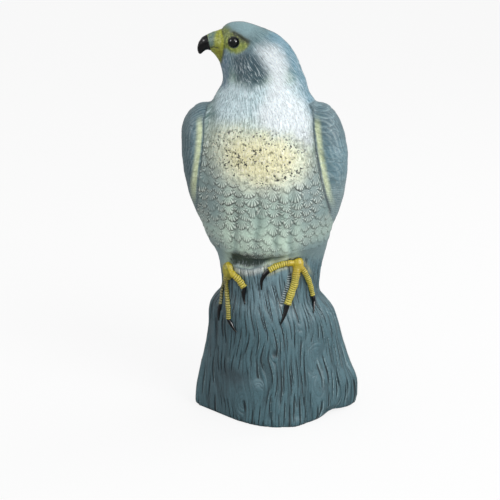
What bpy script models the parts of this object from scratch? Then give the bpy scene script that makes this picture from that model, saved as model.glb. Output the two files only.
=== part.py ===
# Falcon decoy perched on a stump: a hollow moulded bird scarer for the garden.
# Metres, +Z up. The breast faces -Y and the turned head points its beak to -X.
# Origin: the middle of the footprint, on the ground.

import math
from collections import namedtuple

import bmesh
import bpy
import numpy as np
from mathutils import Matrix, Vector

MM = 0.001

# Lengths of the main form, from the ground up
STUMP_SHOULDER_HEIGHT = 110 * MM
WAIST_RISE = 26 * MM
HEM_RISE = 44 * MM
BREAST_RISE = 82 * MM
WING_TOP_RISE = 66 * MM
THROAT_RISE = 25 * MM
FACE_RISE = 35 * MM
CROWN_RISE = 22 * MM
WAIST_HEIGHT = STUMP_SHOULDER_HEIGHT + WAIST_RISE
HEM_HEIGHT = WAIST_HEIGHT + HEM_RISE
BREAST_HEIGHT = HEM_HEIGHT + BREAST_RISE
WING_TOP_HEIGHT = BREAST_HEIGHT + WING_TOP_RISE
THROAT_HEIGHT = WING_TOP_HEIGHT + THROAT_RISE
FACE_HEIGHT = THROAT_HEIGHT + FACE_RISE
CROWN_HEIGHT = FACE_HEIGHT + CROWN_RISE

# Greatest half width and depth of the stump, the body and the head
STUMP_HALF_WIDTH = 86.7 * MM
STUMP_DEPTH = 63 * MM
BODY_HALF_WIDTH = 70.5 * MM
BODY_DEPTH = 63 * MM
HEAD_HALF_WIDTH = 39.8 * MM
HEAD_DEPTH = 31.6 * MM

# The moulded shell
WALL = 2.4 * MM
PARTING_GAP = 0.3 * MM
SEAT_GAP = 0.3 * MM
CUT_REACH = 6 * MM
SKIN_SIDES = 40
SKIN_SPACING = 9 * MM
HOLLOW_SIDES = 32
HOLLOW_SPACING = 14 * MM

# The lip of the front shell that locates the back shell
LIP_THICKNESS = 1.6 * MM
LIP_REACH = 4 * MM
LIP_ROOT = 5 * MM
LIP_CLEARANCE = 0.5 * MM
LIP_RELIEF = 1.3 * MM
LOWER_LIP_START = 0.23
LOWER_LIP_END = 0.68
UPPER_LIP_START = 0.28
UPPER_LIP_END = 0.81

# The underside: a standing rim, a recessed floor and the round cover in it, which four
# catches hold
RIM_WIDTH = 9 * MM
RECESS_DEPTH = 5 * MM
FLOOR_THICKNESS = 2.6 * MM
COVER_OPENING_RADIUS = 34 * MM
COVER_FLANGE_RADIUS = 39 * MM
COVER_FLANGE_THICKNESS = 2.2 * MM
COVER_WALL = 2 * MM
COVER_SPIGOT_HEIGHT = 7 * MM
CATCH_COUNT = 4
CATCH_WIDTH = 9 * MM
CATCH_REACH = 1.8 * MM
CATCH_THICKNESS = 1.8 * MM

# The stopper in the fill hole
FILL_HOLE_RADIUS = 13 * MM
FILL_NECK_WALL = 2.2 * MM
FILL_NECK_HEIGHT = 12 * MM
STOPPER_CLEARANCE = 0.3 * MM
STOPPER_FLANGE_RADIUS = 16.5 * MM
STOPPER_FLANGE_THICKNESS = 1.4 * MM
STOPPER_LENGTH = 11 * MM
STOPPER_WALL = 2.2 * MM
STOPPER_GRIP_WIDTH = 3 * MM

# The eyes, pressed in from outside and locked inside by washers
EYE_ABOVE_FACE = 4.3 * MM
EYE_AHEAD = 0.508
EYE_HEIGHT = FACE_HEIGHT + EYE_ABOVE_FACE
EYE_RADIUS = 5.4 * MM
EYE_BULGE = 3.3 * MM
EYE_POCKET_DEPTH = 1.2 * MM
EYE_CLEARANCE = 0.3 * MM
EYE_STEM_RADIUS = 1.6 * MM
EYE_STEM_LENGTH = 10 * MM
WASHER_RADIUS = 4.2 * MM
WASHER_THICKNESS = 0.9 * MM

# The feet, moulded on their own and pegged to the stump
TOE_RADIUS = 4.3 * MM
TOE_TIP_RADIUS = 3.8 * MM
TALON_RADIUS = 2.8 * MM
TALON_TIP_RADIUS = 0.7 * MM
TOE_SINK = 0.35
TOE_KNOB = 0.08
KNUCKLE_SHAPE = [(1.5, 1.15), (0.4, 1.65), (-0.9, 1.6), (-1.9, 1.2)]
TOE_STEPS = 9
TALON_STEPS = 7
FOOT_PEG_RADIUS = 2.5 * MM
FOOT_PEG_LENGTH = 9 * MM

# The face's taper and the black hook of the beak, plugged into it
BEAK_LENGTH = 36.3 * MM
BEAK_ROOT_AHEAD = 0.432
BEAK_HALF_HEIGHT = 17.5 * MM
HOOK_SPIGOT_RADIUS = 2.4 * MM
HOOK_SPIGOT_LENGTH = 6 * MM

Level = namedtuple("Level", "height middle half_width front back pinch")


def mix(low, high, share):
    return low + (high - low) * share


def levels(low, high, half_width, depth, rows):
    # Sections between two heights. Each row has its share of the way up, its middle and half
    # width as shares of the half width given, its depth in front of the parting plane and
    # behind it as shares of the depth given, and its pinch: 1 is an ellipse, more draws the
    # front in to a rounded ridge, and less makes the section fuller.
    return [Level(mix(low, high, share), middle * half_width, half * half_width, front * depth,
                  back * depth, pinch)
            for share, middle, half, front, back, pinch in rows]


# The stump, body, neck and head as one stack of sections
CORE = [
    *levels(0, STUMP_SHOULDER_HEIGHT, STUMP_HALF_WIDTH, STUMP_DEPTH, [
        (0.00, 0.046, 0.975, 0.984, 0.968, 2.9),
        (0.03, 0.055, 0.994, 1.000, 0.984, 2.9),
        (0.14, 0.063, 1.000, 1.000, 0.992, 2.8),
        (0.32, 0.063, 0.960, 0.976, 0.968, 2.5),
        (0.48, 0.046, 0.913, 0.952, 0.929, 2.2),
        (0.65, 0.039, 0.843, 0.921, 0.889, 1.9),
        (0.82, 0.028, 0.804, 0.889, 0.849, 1.65),
        (0.98, 0.003, 0.765, 0.857, 0.810, 1.45),
    ]),
    *levels(STUMP_SHOULDER_HEIGHT, WAIST_HEIGHT, BODY_HALF_WIDTH, BODY_DEPTH, [
        (0.24, -0.026, 0.894, 0.833, 0.778, 1.35),
        (0.42, -0.041, 0.848, 0.810, 0.754, 1.25),
        (0.60, -0.045, 0.796, 0.786, 0.730, 1.15),
        (0.77, -0.028, 0.746, 0.762, 0.714, 1.0),
    ]),
    *levels(WAIST_HEIGHT, HEM_HEIGHT, BODY_HALF_WIDTH, BODY_DEPTH, [
        (0.00, -0.018, 0.722, 0.746, 0.698, 1.0),
        (0.35, -0.010, 0.740, 0.722, 0.698, 1.0),
        (0.62, -0.010, 0.760, 0.722, 0.714, 1.0),
        (0.82, -0.011, 0.794, 0.667, 0.730, 1.0),
    ]),
    *levels(HEM_HEIGHT, BREAST_HEIGHT, BODY_HALF_WIDTH, BODY_DEPTH, [
        (0.00, -0.028, 0.837, 0.754, 0.754, 1.0),
        (0.08, -0.047, 0.877, 0.841, 0.770, 1.0),
        (0.33, -0.070, 0.962, 0.929, 0.810, 1.0),
        (0.58, -0.082, 1.000, 0.976, 0.841, 1.0),
        (0.82, -0.099, 0.979, 1.000, 0.857, 1.0),
    ]),
    *levels(BREAST_HEIGHT, WING_TOP_HEIGHT, BODY_HALF_WIDTH, BODY_DEPTH, [
        (0.00, -0.128, 0.943, 1.000, 0.865, 1.0),
        (0.40, -0.156, 0.879, 0.960, 0.849, 1.0),
        (0.72, -0.163, 0.816, 0.881, 0.810, 1.0),
        (0.92, -0.149, 0.773, 0.810, 0.770, 1.0),
    ]),
    *levels(WING_TOP_HEIGHT, THROAT_HEIGHT, HEAD_HALF_WIDTH, HEAD_DEPTH, [
        (0.12, -0.221, 1.294, 1.506, 1.472, 1.0),
        (0.44, -0.241, 1.166, 1.361, 1.361, 1.0),
        (0.76, -0.206, 1.075, 1.228, 1.259, 1.0),
    ]),
    *levels(THROAT_HEIGHT, FACE_HEIGHT, HEAD_HALF_WIDTH, HEAD_DEPTH, [
        (0.00, -0.209, 1.035, 1.114, 1.158, 0.96),
        (0.25, -0.271, 1.000, 1.000, 1.032, 0.93),
        (0.48, -0.327, 0.987, 0.911, 0.930, 0.89),
        (0.70, -0.389, 0.952, 0.842, 0.848, 0.84),
    ]),
    *levels(FACE_HEIGHT, CROWN_HEIGHT, HEAD_HALF_WIDTH, HEAD_DEPTH, [
        (0.00, -0.472, 0.854, 0.778, 0.778, 0.8),
        (0.25, -0.548, 0.774, 0.725, 0.725, 0.8),
        (0.52, -0.638, 0.663, 0.623, 0.623, 0.84),
        (0.72, -0.724, 0.528, 0.494, 0.494, 0.9),
        (0.90, -0.804, 0.339, 0.316, 0.316, 1.0),
        (0.98, -0.829, 0.151, 0.146, 0.146, 1.0),
    ]),
]

# How much of a pinched section's depth stays elliptical, so that it still meets the parting
# plane squarely
UNPINCHED_SHARE = 0.12

# One folded wing, from the shoulder down to the tip that lies on the tail: its distance out
# from the bird's axis and half width as shares of the body's half width, and its set back
# and half depth as shares of the body's depth
BIRD_AXIS_TOP = -10 * MM
BIRD_AXIS_LOW = -3 * MM
WING_LENGTH = 232 * MM
WING_BLUNTNESS = 0.78
WING_HOLLOW_START = 0.04
WING_HOLLOW_END = 0.7
Lobe = namedtuple("Lobe", "share out set_back half_width half_depth")
WING = [
    Lobe(0.000, 0.809, 0.000, 0.071, 0.127),
    Lobe(0.015, 0.823, 0.000, 0.135, 0.238),
    Lobe(0.045, 0.844, 0.016, 0.199, 0.349),
    Lobe(0.080, 0.865, 0.032, 0.238, 0.429),
    Lobe(0.130, 0.898, 0.048, 0.258, 0.492),
    Lobe(0.215, 0.936, 0.079, 0.261, 0.556),
    Lobe(0.310, 0.929, 0.111, 0.252, 0.587),
    Lobe(0.405, 0.887, 0.175, 0.241, 0.587),
    Lobe(0.500, 0.809, 0.270, 0.230, 0.540),
    Lobe(0.590, 0.702, 0.381, 0.210, 0.460),
    Lobe(0.690, 0.553, 0.508, 0.184, 0.357),
    Lobe(0.780, 0.418, 0.611, 0.162, 0.267),
    Lobe(0.870, 0.298, 0.706, 0.133, 0.190),
    Lobe(0.950, 0.206, 0.794, 0.096, 0.124),
    Lobe(1.000, 0.163, 0.841, 0.043, 0.067),
]

# The tail blade, from under the wing tips down the back of the stump
TAIL_ABOVE_HEM = 20 * MM
TAIL_LENGTH = 148 * MM
TAIL_HALF_WIDTH = 23 * MM
TAIL_HALF_THICKNESS = 5 * MM
TAIL_PROUD_TOP = -4 * MM
TAIL_PROUD_END = 5 * MM
TAIL_PROUD_SHARE = 0.6
TAIL_THINNING = 0.3
TAIL_END_SHARE = 0.92
TAIL_END_TAPER = 0.22
TAIL_END_THINNING = 0.35

# The face: sections from inside the head to the flat where the black hook starts. Each has
# its share of the beak's length, its height above the face's middle, half height and half
# thickness as shares of the beak's half height, and how far its axis dips in degrees.
Section = namedtuple("Section", "share rise half_height half_thickness dip")
FACE = [
    Section(0.000, -0.023, 1.000, 1.171, 0),
    Section(0.220, -0.046, 0.937, 1.040, 0),
    Section(0.386, -0.046, 0.869, 0.891, 2),
    Section(0.510, -0.023, 0.766, 0.737, 4),
    Section(0.620, 0.023, 0.640, 0.583, 8),
    Section(0.749, 0.051, 0.503, 0.434, 14),
]
HOOK = [
    Section(0.758, 0.046, 0.486, 0.423, 14),
    Section(0.843, -0.017, 0.417, 0.354, 30),
    Section(0.920, -0.137, 0.320, 0.274, 48),
    Section(0.970, -0.291, 0.229, 0.200, 66),
    Section(0.992, -0.423, 0.160, 0.143, 80),
    Section(1.000, -0.537, 0.086, 0.080, 92),
]

# Each toe's path over the stump and its talon's. A point has its X as a share of the body's
# half width, and its share of the way up from the stump's shoulder to the hem. Y comes from
# the surface that it lies on.
Toe = namedtuple("Toe", "name points talon swell")
FEET = {
    "left_foot": {
        "knuckle": (0.366, 0.864),
        "toes": [
            Toe("inner", [(0.340, 0.879), (0.220, 0.890), (0.125, 0.873), (0.031, 0.840),
                          (-0.054, 0.794)],
                [(-0.098, 0.769), (-0.133, 0.691), (-0.159, 0.603), (-0.157, 0.499)], 0.86),
            Toe("middle", [(0.355, 0.850), (0.338, 0.710), (0.321, 0.586), (0.279, 0.467),
                           (0.217, 0.279)],
                [(0.207, 0.257), (0.189, 0.179), (0.160, 0.100), (0.116, 0.009)], 1.0),
            Toe("outer", [(0.390, 0.850), (0.464, 0.726), (0.515, 0.611), (0.555, 0.483),
                          (0.587, 0.323)],
                [(0.597, 0.300), (0.609, 0.227), (0.609, 0.157), (0.604, 0.094)], 0.76),
        ],
    },
    "right_foot": {
        "knuckle": (-0.630, 0.729),
        "toes": [
            Toe("inner", [(-0.617, 0.729), (-0.566, 0.677), (-0.492, 0.623), (-0.404, 0.507)],
                [(-0.406, 0.471), (-0.414, 0.410), (-0.409, 0.336), (-0.397, 0.267)], 0.94),
            Toe("middle", [(-0.633, 0.721), (-0.665, 0.599), (-0.661, 0.446), (-0.648, 0.294),
                           (-0.635, 0.153), (-0.633, 0.003)],
                [(-0.620, -0.021), (-0.574, -0.103), (-0.523, -0.169)], 0.72),
            Toe("outer", [(-0.652, 0.707), (-0.696, 0.479), (-0.728, 0.326), (-0.752, 0.169)],
                [(-0.762, 0.133), (-0.776, 0.026), (-0.782, -0.080)], 0.6),
        ],
    },
}


def clear_scene():
    for obj in list(bpy.data.objects):
        bpy.data.objects.remove(obj, do_unlink=True)


def material(name, colour, roughness):
    made = bpy.data.materials.new(name)
    made.use_nodes = True
    shader = made.node_tree.nodes["Principled BSDF"]
    shader.inputs["Base Color"].default_value = (*colour, 1)
    shader.inputs["Roughness"].default_value = roughness
    shader.inputs["Metallic"].default_value = 0
    return made


def add_object(name, mesh):
    obj = bpy.data.objects.new(name, mesh)
    bpy.context.scene.collection.objects.link(obj)
    return obj


def loft(name, rings, round_start=None, round_end=None):
    # Skins a list of rings, each an equal list of points. An end is closed by its own flat
    # face, or by a fan to the point given for it.
    bm = bmesh.new()
    loops = [[bm.verts.new(point) for point in ring] for ring in rings]
    count = len(loops[0])
    for lower, upper in zip(loops, loops[1:]):
        for i in range(count):
            j = (i + 1) % count
            bm.faces.new((lower[i], lower[j], upper[j], upper[i]))
    for loop, pole, turned in ((loops[0], round_start, True), (loops[-1], round_end, False)):
        if pole is None:
            bm.faces.new(loop[::-1] if turned else loop)
            continue
        tip = bm.verts.new(pole)
        for i in range(count):
            j = (i + 1) % count
            bm.faces.new((loop[j], loop[i], tip) if turned else (loop[i], loop[j], tip))
    bmesh.ops.recalc_face_normals(bm, faces=bm.faces)
    bent = [face for face in bm.faces if len(face.verts) == 4]
    bmesh.ops.triangulate(bm, faces=bent)
    mesh = bpy.data.meshes.new(name)
    bm.to_mesh(mesh)
    bm.free()
    return add_object(name, mesh)


def cylinder(name, radius, start, end, sides=32):
    # A round bar between two points.
    start, end = Vector(start), Vector(end)
    turn = (end - start).to_track_quat("Z", "Y").to_matrix()
    rings = []
    for middle in (start, end):
        ring = [turn @ Vector((math.cos(a), math.sin(a), 0)) * radius + middle
                for a in np.linspace(0, 2 * math.pi, sides, endpoint=False)]
        rings.append(ring)
    return loft(name, rings)


def block(name, low, high):
    bm = bmesh.new()
    bmesh.ops.create_cube(bm, size=1)
    size = Vector(high) - Vector(low)
    middle = (Vector(high) + Vector(low)) / 2
    bmesh.ops.transform(bm, matrix=Matrix.Translation(middle) @ Matrix.Diagonal((*size, 1)),
                        verts=bm.verts)
    mesh = bpy.data.meshes.new(name)
    bm.to_mesh(mesh)
    bm.free()
    return add_object(name, mesh)


def combine(target, others, operation):
    # Joins, cuts or intersects the target with each of the others, which are used up.
    for other in others:
        modifier = target.modifiers.new("combine", "BOOLEAN")
        modifier.operation = operation
        modifier.solver = "EXACT"
        modifier.object = other
        bpy.context.view_layer.update()
        graph = bpy.context.evaluated_depsgraph_get()
        mesh = bpy.data.meshes.new_from_object(target.evaluated_get(graph))
        target.modifiers.clear()
        target.data = mesh
        bpy.data.objects.remove(other, do_unlink=True)
    return target


def copy_of(obj, name):
    return add_object(name, obj.data.copy())


def finish(obj, name, look, sharp=35):
    obj.name = name
    obj.data.name = name
    obj.data.materials.clear()
    obj.data.materials.append(look)
    obj.data.shade_smooth()
    obj.data.set_sharp_from_angle(angle=math.radians(sharp))
    return obj


def slopes(at, values):
    # Slopes of a curve through the values that never overshoots them.
    steps = np.diff(values) / np.diff(at)
    inner = [0 if a * b <= 0 else 2 * a * b / (a + b) for a, b in zip(steps, steps[1:])]
    return np.array([steps[0], *inner, steps[-1]])


def smooth(at, values, where):
    at, values = np.array(at, float), np.array(values, float)
    slope = slopes(at, values)
    i = int(np.clip(np.searchsorted(at, where) - 1, 0, len(at) - 2))
    span = at[i + 1] - at[i]
    t = min(max((where - at[i]) / span, 0), 1)
    return float(values[i] * (2 * t**3 - 3 * t**2 + 1) + slope[i] * span * (t**3 - 2 * t**2 + t)
                 + values[i + 1] * (3 * t**2 - 2 * t**3) + slope[i + 1] * span * (t**3 - t**2))


def core_at(height):
    heights = [item.height for item in CORE]
    return Level(height, *(smooth(heights, [item[k] for item in CORE], height)
                           for k in range(1, len(Level._fields))))


def pinched(share, pinch):
    # A section's depth as a share of its greatest, from the ellipse's share there.
    return (1 - UNPINCHED_SHARE) * share**pinch + UNPINCHED_SHARE * share


def core_ring(height, inset=0.0, sides=SKIN_SIDES):
    # One section of the core, its widest points in the parting plane.
    here = core_at(height)
    ring = []
    for angle in np.linspace(0, 2 * math.pi, sides, endpoint=False):
        along = math.sin(angle)
        if along > 0:
            y = (here.back - inset) * pinched(along, min(here.pinch, 1))
        else:
            y = -(here.front - inset) * pinched(-along, here.pinch)
        x = here.middle + (here.half_width - inset) * math.cos(angle)
        ring.append(Vector((x, y, height)))
    return ring


def ring_heights(low, high, spacing=SKIN_SPACING):
    # Heights of the sections: every level between the two, and enough between levels.
    marks = [low, *(item.height for item in CORE if low + MM < item.height < high - MM), high]
    found = []
    for below, above in zip(marks, marks[1:]):
        steps = max(1, round((above - below) / spacing))
        found += [mix(below, above, i / steps) for i in range(steps)]
    return [*found, high]


def core(name, low, high, inset=0.0, spacing=SKIN_SPACING, sides=SKIN_SIDES, pole=None):
    rings = [core_ring(height, inset, sides) for height in ring_heights(low, high, spacing)]
    return loft(name, rings, round_end=pole)


def core_surface(x, height, inset=0.0):
    # Y of the core's front face at this X and height, or of its inside.
    here = core_at(height)
    across = min(abs(x - here.middle) / (here.half_width - inset), 1)
    return -(here.front - inset) * pinched(math.sqrt(1 - across**2), here.pinch)


def bird_axis(height):
    share = min(max((height - HEM_HEIGHT) / (WING_TOP_HEIGHT - HEM_HEIGHT), 0), 1)
    return mix(BIRD_AXIS_LOW, BIRD_AXIS_TOP, share)


def blunt(value):
    # Squares up a circle's sine or cosine by the wing's bluntness.
    return math.copysign(abs(value) ** WING_BLUNTNESS, value)


def wing(name, side, inset=0.0, top_share=0.0, tip_share=1.0, sides=24):
    # A folded wing as a stack of blunt ovals that leans back round the body.
    rings = []
    for item in WING:
        if not top_share <= item.share <= tip_share:
            continue
        height = WING_TOP_HEIGHT - WING_LENGTH * item.share
        middle = Vector((bird_axis(height) + side * item.out * BODY_HALF_WIDTH,
                         item.set_back * BODY_DEPTH, height))
        half_width = item.half_width * BODY_HALF_WIDTH - inset
        half_depth = item.half_depth * BODY_DEPTH - inset
        rings.append([middle + Vector((half_width * blunt(math.cos(a)),
                                       half_depth * blunt(math.sin(a)), 0))
                      for a in np.linspace(0, 2 * math.pi, sides, endpoint=False)])
    return loft(name, rings)


def tail(name, sides=20):
    # A blade that rises out of the back under the wing tips and thins to a square end.
    rings = []
    for share in (0, 0.12, 0.26, 0.4, 0.54, 0.68, 0.82, 0.92, 0.97, 1):
        height = HEM_HEIGHT + TAIL_ABOVE_HEM - TAIL_LENGTH * share
        proud = mix(TAIL_PROUD_TOP, TAIL_PROUD_END, min(share / TAIL_PROUD_SHARE, 1))
        thick = TAIL_HALF_THICKNESS * (1 - TAIL_THINNING * share)
        end = max(0, share - TAIL_END_SHARE) / (1 - TAIL_END_SHARE)
        wide = TAIL_HALF_WIDTH * (1 - TAIL_END_TAPER * end)
        back = core_at(height).back + proud - thick * (1 + TAIL_END_THINNING * end)
        middle = Vector((bird_axis(height), back, height))
        thick *= 1 - TAIL_END_THINNING * end
        rings.append([middle + Vector((wide * math.cos(a), thick * math.sin(a), 0))
                      for a in np.linspace(0, 2 * math.pi, sides, endpoint=False)])
    return loft(name, rings)


def face_middle():
    # The middle of the head's section at the face's height
    return core_at(FACE_HEIGHT).middle


def section_middle(item):
    x = face_middle() - HEAD_HALF_WIDTH * BEAK_ROOT_AHEAD - BEAK_LENGTH * item.share
    return Vector((x, 0, FACE_HEIGHT + BEAK_HALF_HEIGHT * item.rise))


def profile_loft(name, sections, sides=20, pole=None):
    # Upright sections in the plane of the turned head, each tipped down by its dip.
    rings = []
    for item in sections:
        dip = math.radians(item.dip)
        up = Vector((-math.sin(dip), 0, math.cos(dip))) * item.half_height * BEAK_HALF_HEIGHT
        across = Vector((0, item.half_thickness * BEAK_HALF_HEIGHT, 0))
        rings.append([section_middle(item) + up * math.cos(a) + across * math.sin(a)
                      for a in np.linspace(0, 2 * math.pi, sides, endpoint=False)])
    return loft(name, rings, round_end=pole)


def outer_form():
    form = core("outer", 0, CORE[-1].height, pole=Vector((CORE[-1].middle, 0, CROWN_HEIGHT)))
    wings = [wing("wing_form", side) for side in (1, -1)]
    return combine(form, [*wings, tail("tail_form"), profile_loft("face_form", FACE)], "UNION")


def hollow_core(name, inset):
    # The inside of the stack of sections, from the floor of the stump to the crown.
    return core(name, RECESS_DEPTH + FLOOR_THICKNESS, CORE[-3].height, inset, HOLLOW_SPACING,
                HOLLOW_SIDES)


def hollow():
    # The inside of the body, with the wings' hollows open to it.
    wings = [wing("wing_hollow", side, WALL, WING_HOLLOW_START, WING_HOLLOW_END, 16)
             for side in (1, -1)]
    return combine(hollow_core("hollow", WALL), wings, "UNION")


def parting_lip(low, high):
    # A lip fused to the inside of the front shell, which reaches past the parting plane and
    # lies clear of the back shell's wall.
    def band(name, outer, inner, front, back, reach):
        ring = combine(hollow_core(name, outer), [hollow_core("lip_inside", inner)], "DIFFERENCE")
        slab = block("slab", (-CROWN_HEIGHT, front, low - reach),
                     (CROWN_HEIGHT, back, high + reach))
        return combine(ring, [slab], "INTERSECT")

    outer = WALL + LIP_CLEARANCE
    lip = band("lip", WALL / 2, outer + LIP_THICKNESS, -LIP_ROOT, LIP_REACH, 0)
    relief = band("lip_relief", 0, outer, -LIP_RELIEF, LIP_REACH + MM, MM)
    return combine(lip, [relief], "DIFFERENCE")


def underside_cuts():
    # The recess inside the standing rim, and the round opening for the cover.
    recess = core("recess", -CUT_REACH, RECESS_DEPTH, RIM_WIDTH, CUT_REACH, HOLLOW_SIDES)
    opening = cylinder("opening", COVER_OPENING_RADIUS, (0, 0, 0),
                       (0, 0, RECESS_DEPTH + FLOOR_THICKNESS + CUT_REACH), 48)
    return [recess, opening]


def eye_x():
    return face_middle() - HEAD_HALF_WIDTH * EYE_AHEAD


def eye_frame(side):
    # The point of the head's face on the eye's axis, for the front eye (-1) or the back (1).
    return Vector((eye_x(), -side * core_surface(eye_x(), EYE_HEIGHT), EYE_HEIGHT))


def eye_cuts(side):
    face = eye_frame(side)
    out = Vector((0, side, 0))
    pocket = cylinder("pocket", EYE_RADIUS + EYE_CLEARANCE, face - out * EYE_POCKET_DEPTH,
                      face + out * CUT_REACH)
    bore = cylinder("eye_bore", EYE_STEM_RADIUS + EYE_CLEARANCE,
                    face - out * (WALL + CUT_REACH), face + out * CUT_REACH, 16)
    return [pocket, bore]


def eye(name, side, look):
    # A domed bead with a stem on its flat back.
    seat = eye_frame(side) - Vector((0, side * (EYE_POCKET_DEPTH - EYE_CLEARANCE), 0))
    turn = Vector((0, side, 0)).to_track_quat("Z", "Y").to_matrix()
    edge = EYE_POCKET_DEPTH * 0.6
    profile = [(EYE_RADIUS, 0), (EYE_RADIUS, edge)]
    rise = EYE_BULGE
    profile += [(EYE_RADIUS * math.cos(a), edge + rise * math.sin(a))
                for a in np.linspace(0, math.pi / 2, 7)[1:-1]]
    rings = [[seat + turn @ Vector((radius * math.cos(a), radius * math.sin(a), out))
              for a in np.linspace(0, 2 * math.pi, 32, endpoint=False)]
             for radius, out in profile]
    bead = loft(name, rings, round_end=seat + turn @ Vector((0, 0, edge + rise)))
    stem = cylinder("stem", EYE_STEM_RADIUS, seat + turn @ Vector((0, 0, MM)),
                    seat - turn @ Vector((0, 0, EYE_STEM_LENGTH)), 16)
    return finish(combine(bead, [stem], "UNION"), name, look)


def washer_depth():
    # How far from the parting plane the washer meets the curved inside of the head.
    rim = [(eye_x() + WASHER_RADIUS * across, EYE_HEIGHT + WASHER_RADIUS * up)
           for across, up in ((-1, 0), (1, 0), (0, -1), (0, 1))]
    return min(-core_surface(x, height, WALL) for x, height in rim) - SEAT_GAP * 2


def washer(name, side, look):
    # The locking washer on the stem, against the inside of the head.
    outer_face = Vector((eye_x(), side * washer_depth(), EYE_HEIGHT))
    out = Vector((0, side, 0))
    inner_face = outer_face - out * WASHER_THICKNESS
    disc = cylinder(name, WASHER_RADIUS, outer_face, inner_face, 24)
    bore = cylinder("washer_bore", EYE_STEM_RADIUS + EYE_CLEARANCE, outer_face + out * MM,
                    inner_face - out * MM, 16)
    return finish(combine(disc, [bore], "DIFFERENCE"), name, look)


def spot(point):
    # X and height of a point of the feet's tables.
    across, up = point
    return across * BODY_HALF_WIDTH, mix(STUMP_SHOULDER_HEIGHT, HEM_HEIGHT, up)


def path_over(points, samples, lift):
    # A smooth line through points of the feet's tables, held off the core's front face.
    spots = np.array([spot(point) for point in points])
    run = np.concatenate([[0], np.cumsum(np.hypot(*np.diff(spots, axis=0).T))])
    found = []
    for where in np.linspace(0, run[-1], samples):
        x, height = smooth(run, spots[:, 0], where), smooth(run, spots[:, 1], where)
        found.append(Vector((x, core_surface(x, height) - lift, height)))
    return found


def tube(name, points, radii, sides=12, start_pole=False, end_pole=False, start_along=None):
    # A round-section bar along a line of points, one radius for each point.
    rings = []
    for i, (point, radius) in enumerate(zip(points, radii)):
        before, after = points[max(i - 1, 0)], points[min(i + 1, len(points) - 1)]
        along = (after - before).normalized()
        if i == 0 and start_along:
            along = start_along
        side = along.cross(Vector((0, 1, 0))).normalized()
        out = side.cross(along)
        rings.append([point + (side * math.cos(a) + out * math.sin(a)) * radius
                      for a in np.linspace(0, 2 * math.pi, sides, endpoint=False)])
    first, last = points[0], points[-1]
    start = first + (first - points[1]).normalized() * radii[0] * 0.5 if start_pole else None
    end = last + (last - points[-2]).normalized() * radii[-1] if end_pole else None
    return loft(name, rings, start, end)


def seat_cutter():
    # The outside of the shell grown by the seat gap, to shape what lies on it.
    return core("seat", STUMP_SHOULDER_HEIGHT / 2, mix(HEM_HEIGHT, BREAST_HEIGHT, 0.37),
                -SEAT_GAP)


def peg_axis(shape):
    x, height = spot(shape["knuckle"])
    return Vector((x, core_surface(x, height), height))


def toe_line(toe):
    # The toe's centre line and radii, sunk a little so that the toe hugs the stump.
    radius, tip = TOE_RADIUS * toe.swell, TOE_TIP_RADIUS * toe.swell
    points = path_over(toe.points, TOE_STEPS, radius * TOE_SINK)
    knobs = [1 + TOE_KNOB * (-1) ** i for i in range(TOE_STEPS)]
    radii = [mix(radius, tip, i / (TOE_STEPS - 1)) * knob for i, knob in enumerate(knobs)]
    return points, radii


def foot(name, shape, look):
    # A knuckle with its toes, cut to the stump behind them, and a peg into the stump.
    at = peg_axis(shape)
    radius = TOE_RADIUS * shape["toes"][0].swell
    spine = [at + Vector((0, -radius * TOE_SINK, radius * up)) for up, _ in KNUCKLE_SHAPE]
    swells = [radius * wide for _, wide in KNUCKLE_SHAPE]
    knuckle = tube(name, spine, swells, start_pole=True, end_pole=True)
    toes = [tube("toe", *toe_line(toe)) for toe in shape["toes"]]
    made = combine(knuckle, toes, "UNION")
    made = combine(made, [seat_cutter()], "DIFFERENCE")
    peg = cylinder("peg", FOOT_PEG_RADIUS, at - Vector((0, MM, 0)),
                   at + Vector((0, FOOT_PEG_LENGTH, 0)), 20)
    return finish(combine(made, [peg], "UNION"), name, look)


def talon(name, toe, look):
    # A tapered claw that starts a gap's width from the flat end of its toe.
    toe_points = toe_line(toe)[0]
    along = (toe_points[-1] - toe_points[-2]).normalized()
    claw = path_over(toe.talon, TALON_STEPS, TALON_RADIUS * TOE_SINK)
    claw[0] = toe_points[-1] + along * SEAT_GAP
    radius = TALON_RADIUS * mix(toe.swell, 1, 0.5)
    shares = np.linspace(0, 1, TALON_STEPS)
    thin = [mix(radius, TALON_TIP_RADIUS, share**1.3) for share in shares]
    made = tube(name, claw, thin, 10, end_pole=True, start_along=along)
    return finish(combine(made, [seat_cutter()], "DIFFERENCE"), name, look)


def peg_hole(shape):
    at = peg_axis(shape)
    return cylinder("peg_hole", FOOT_PEG_RADIUS + SEAT_GAP, at - Vector((0, CUT_REACH, 0)),
                    at + Vector((0, FOOT_PEG_LENGTH + CUT_REACH, 0)), 20)


def hook_axis():
    # The line of the hook's spigot: square to the flat where the hook starts.
    dip = math.radians(HOOK[0].dip)
    return section_middle(HOOK[0]), Vector((math.cos(dip), 0, math.sin(dip)))


def beak_hook(look):
    last = HOOK[-1]
    dip = math.radians(last.dip)
    along = Vector((-math.cos(dip), 0, -math.sin(dip)))
    pole = section_middle(last) + along * last.half_height * BEAK_HALF_HEIGHT * 0.8
    hook = profile_loft("beak_hook", HOOK, pole=pole)
    at, into = hook_axis()
    spigot = cylinder("spigot", HOOK_SPIGOT_RADIUS, at - into * MM,
                      at + into * HOOK_SPIGOT_LENGTH, 20)
    return finish(combine(hook, [spigot], "UNION"), "beak_hook", look)


def hook_socket():
    at, into = hook_axis()
    return cylinder("socket", HOOK_SPIGOT_RADIUS + SEAT_GAP, at - into * CUT_REACH,
                    at + into * (HOOK_SPIGOT_LENGTH + SEAT_GAP), 20)


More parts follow.
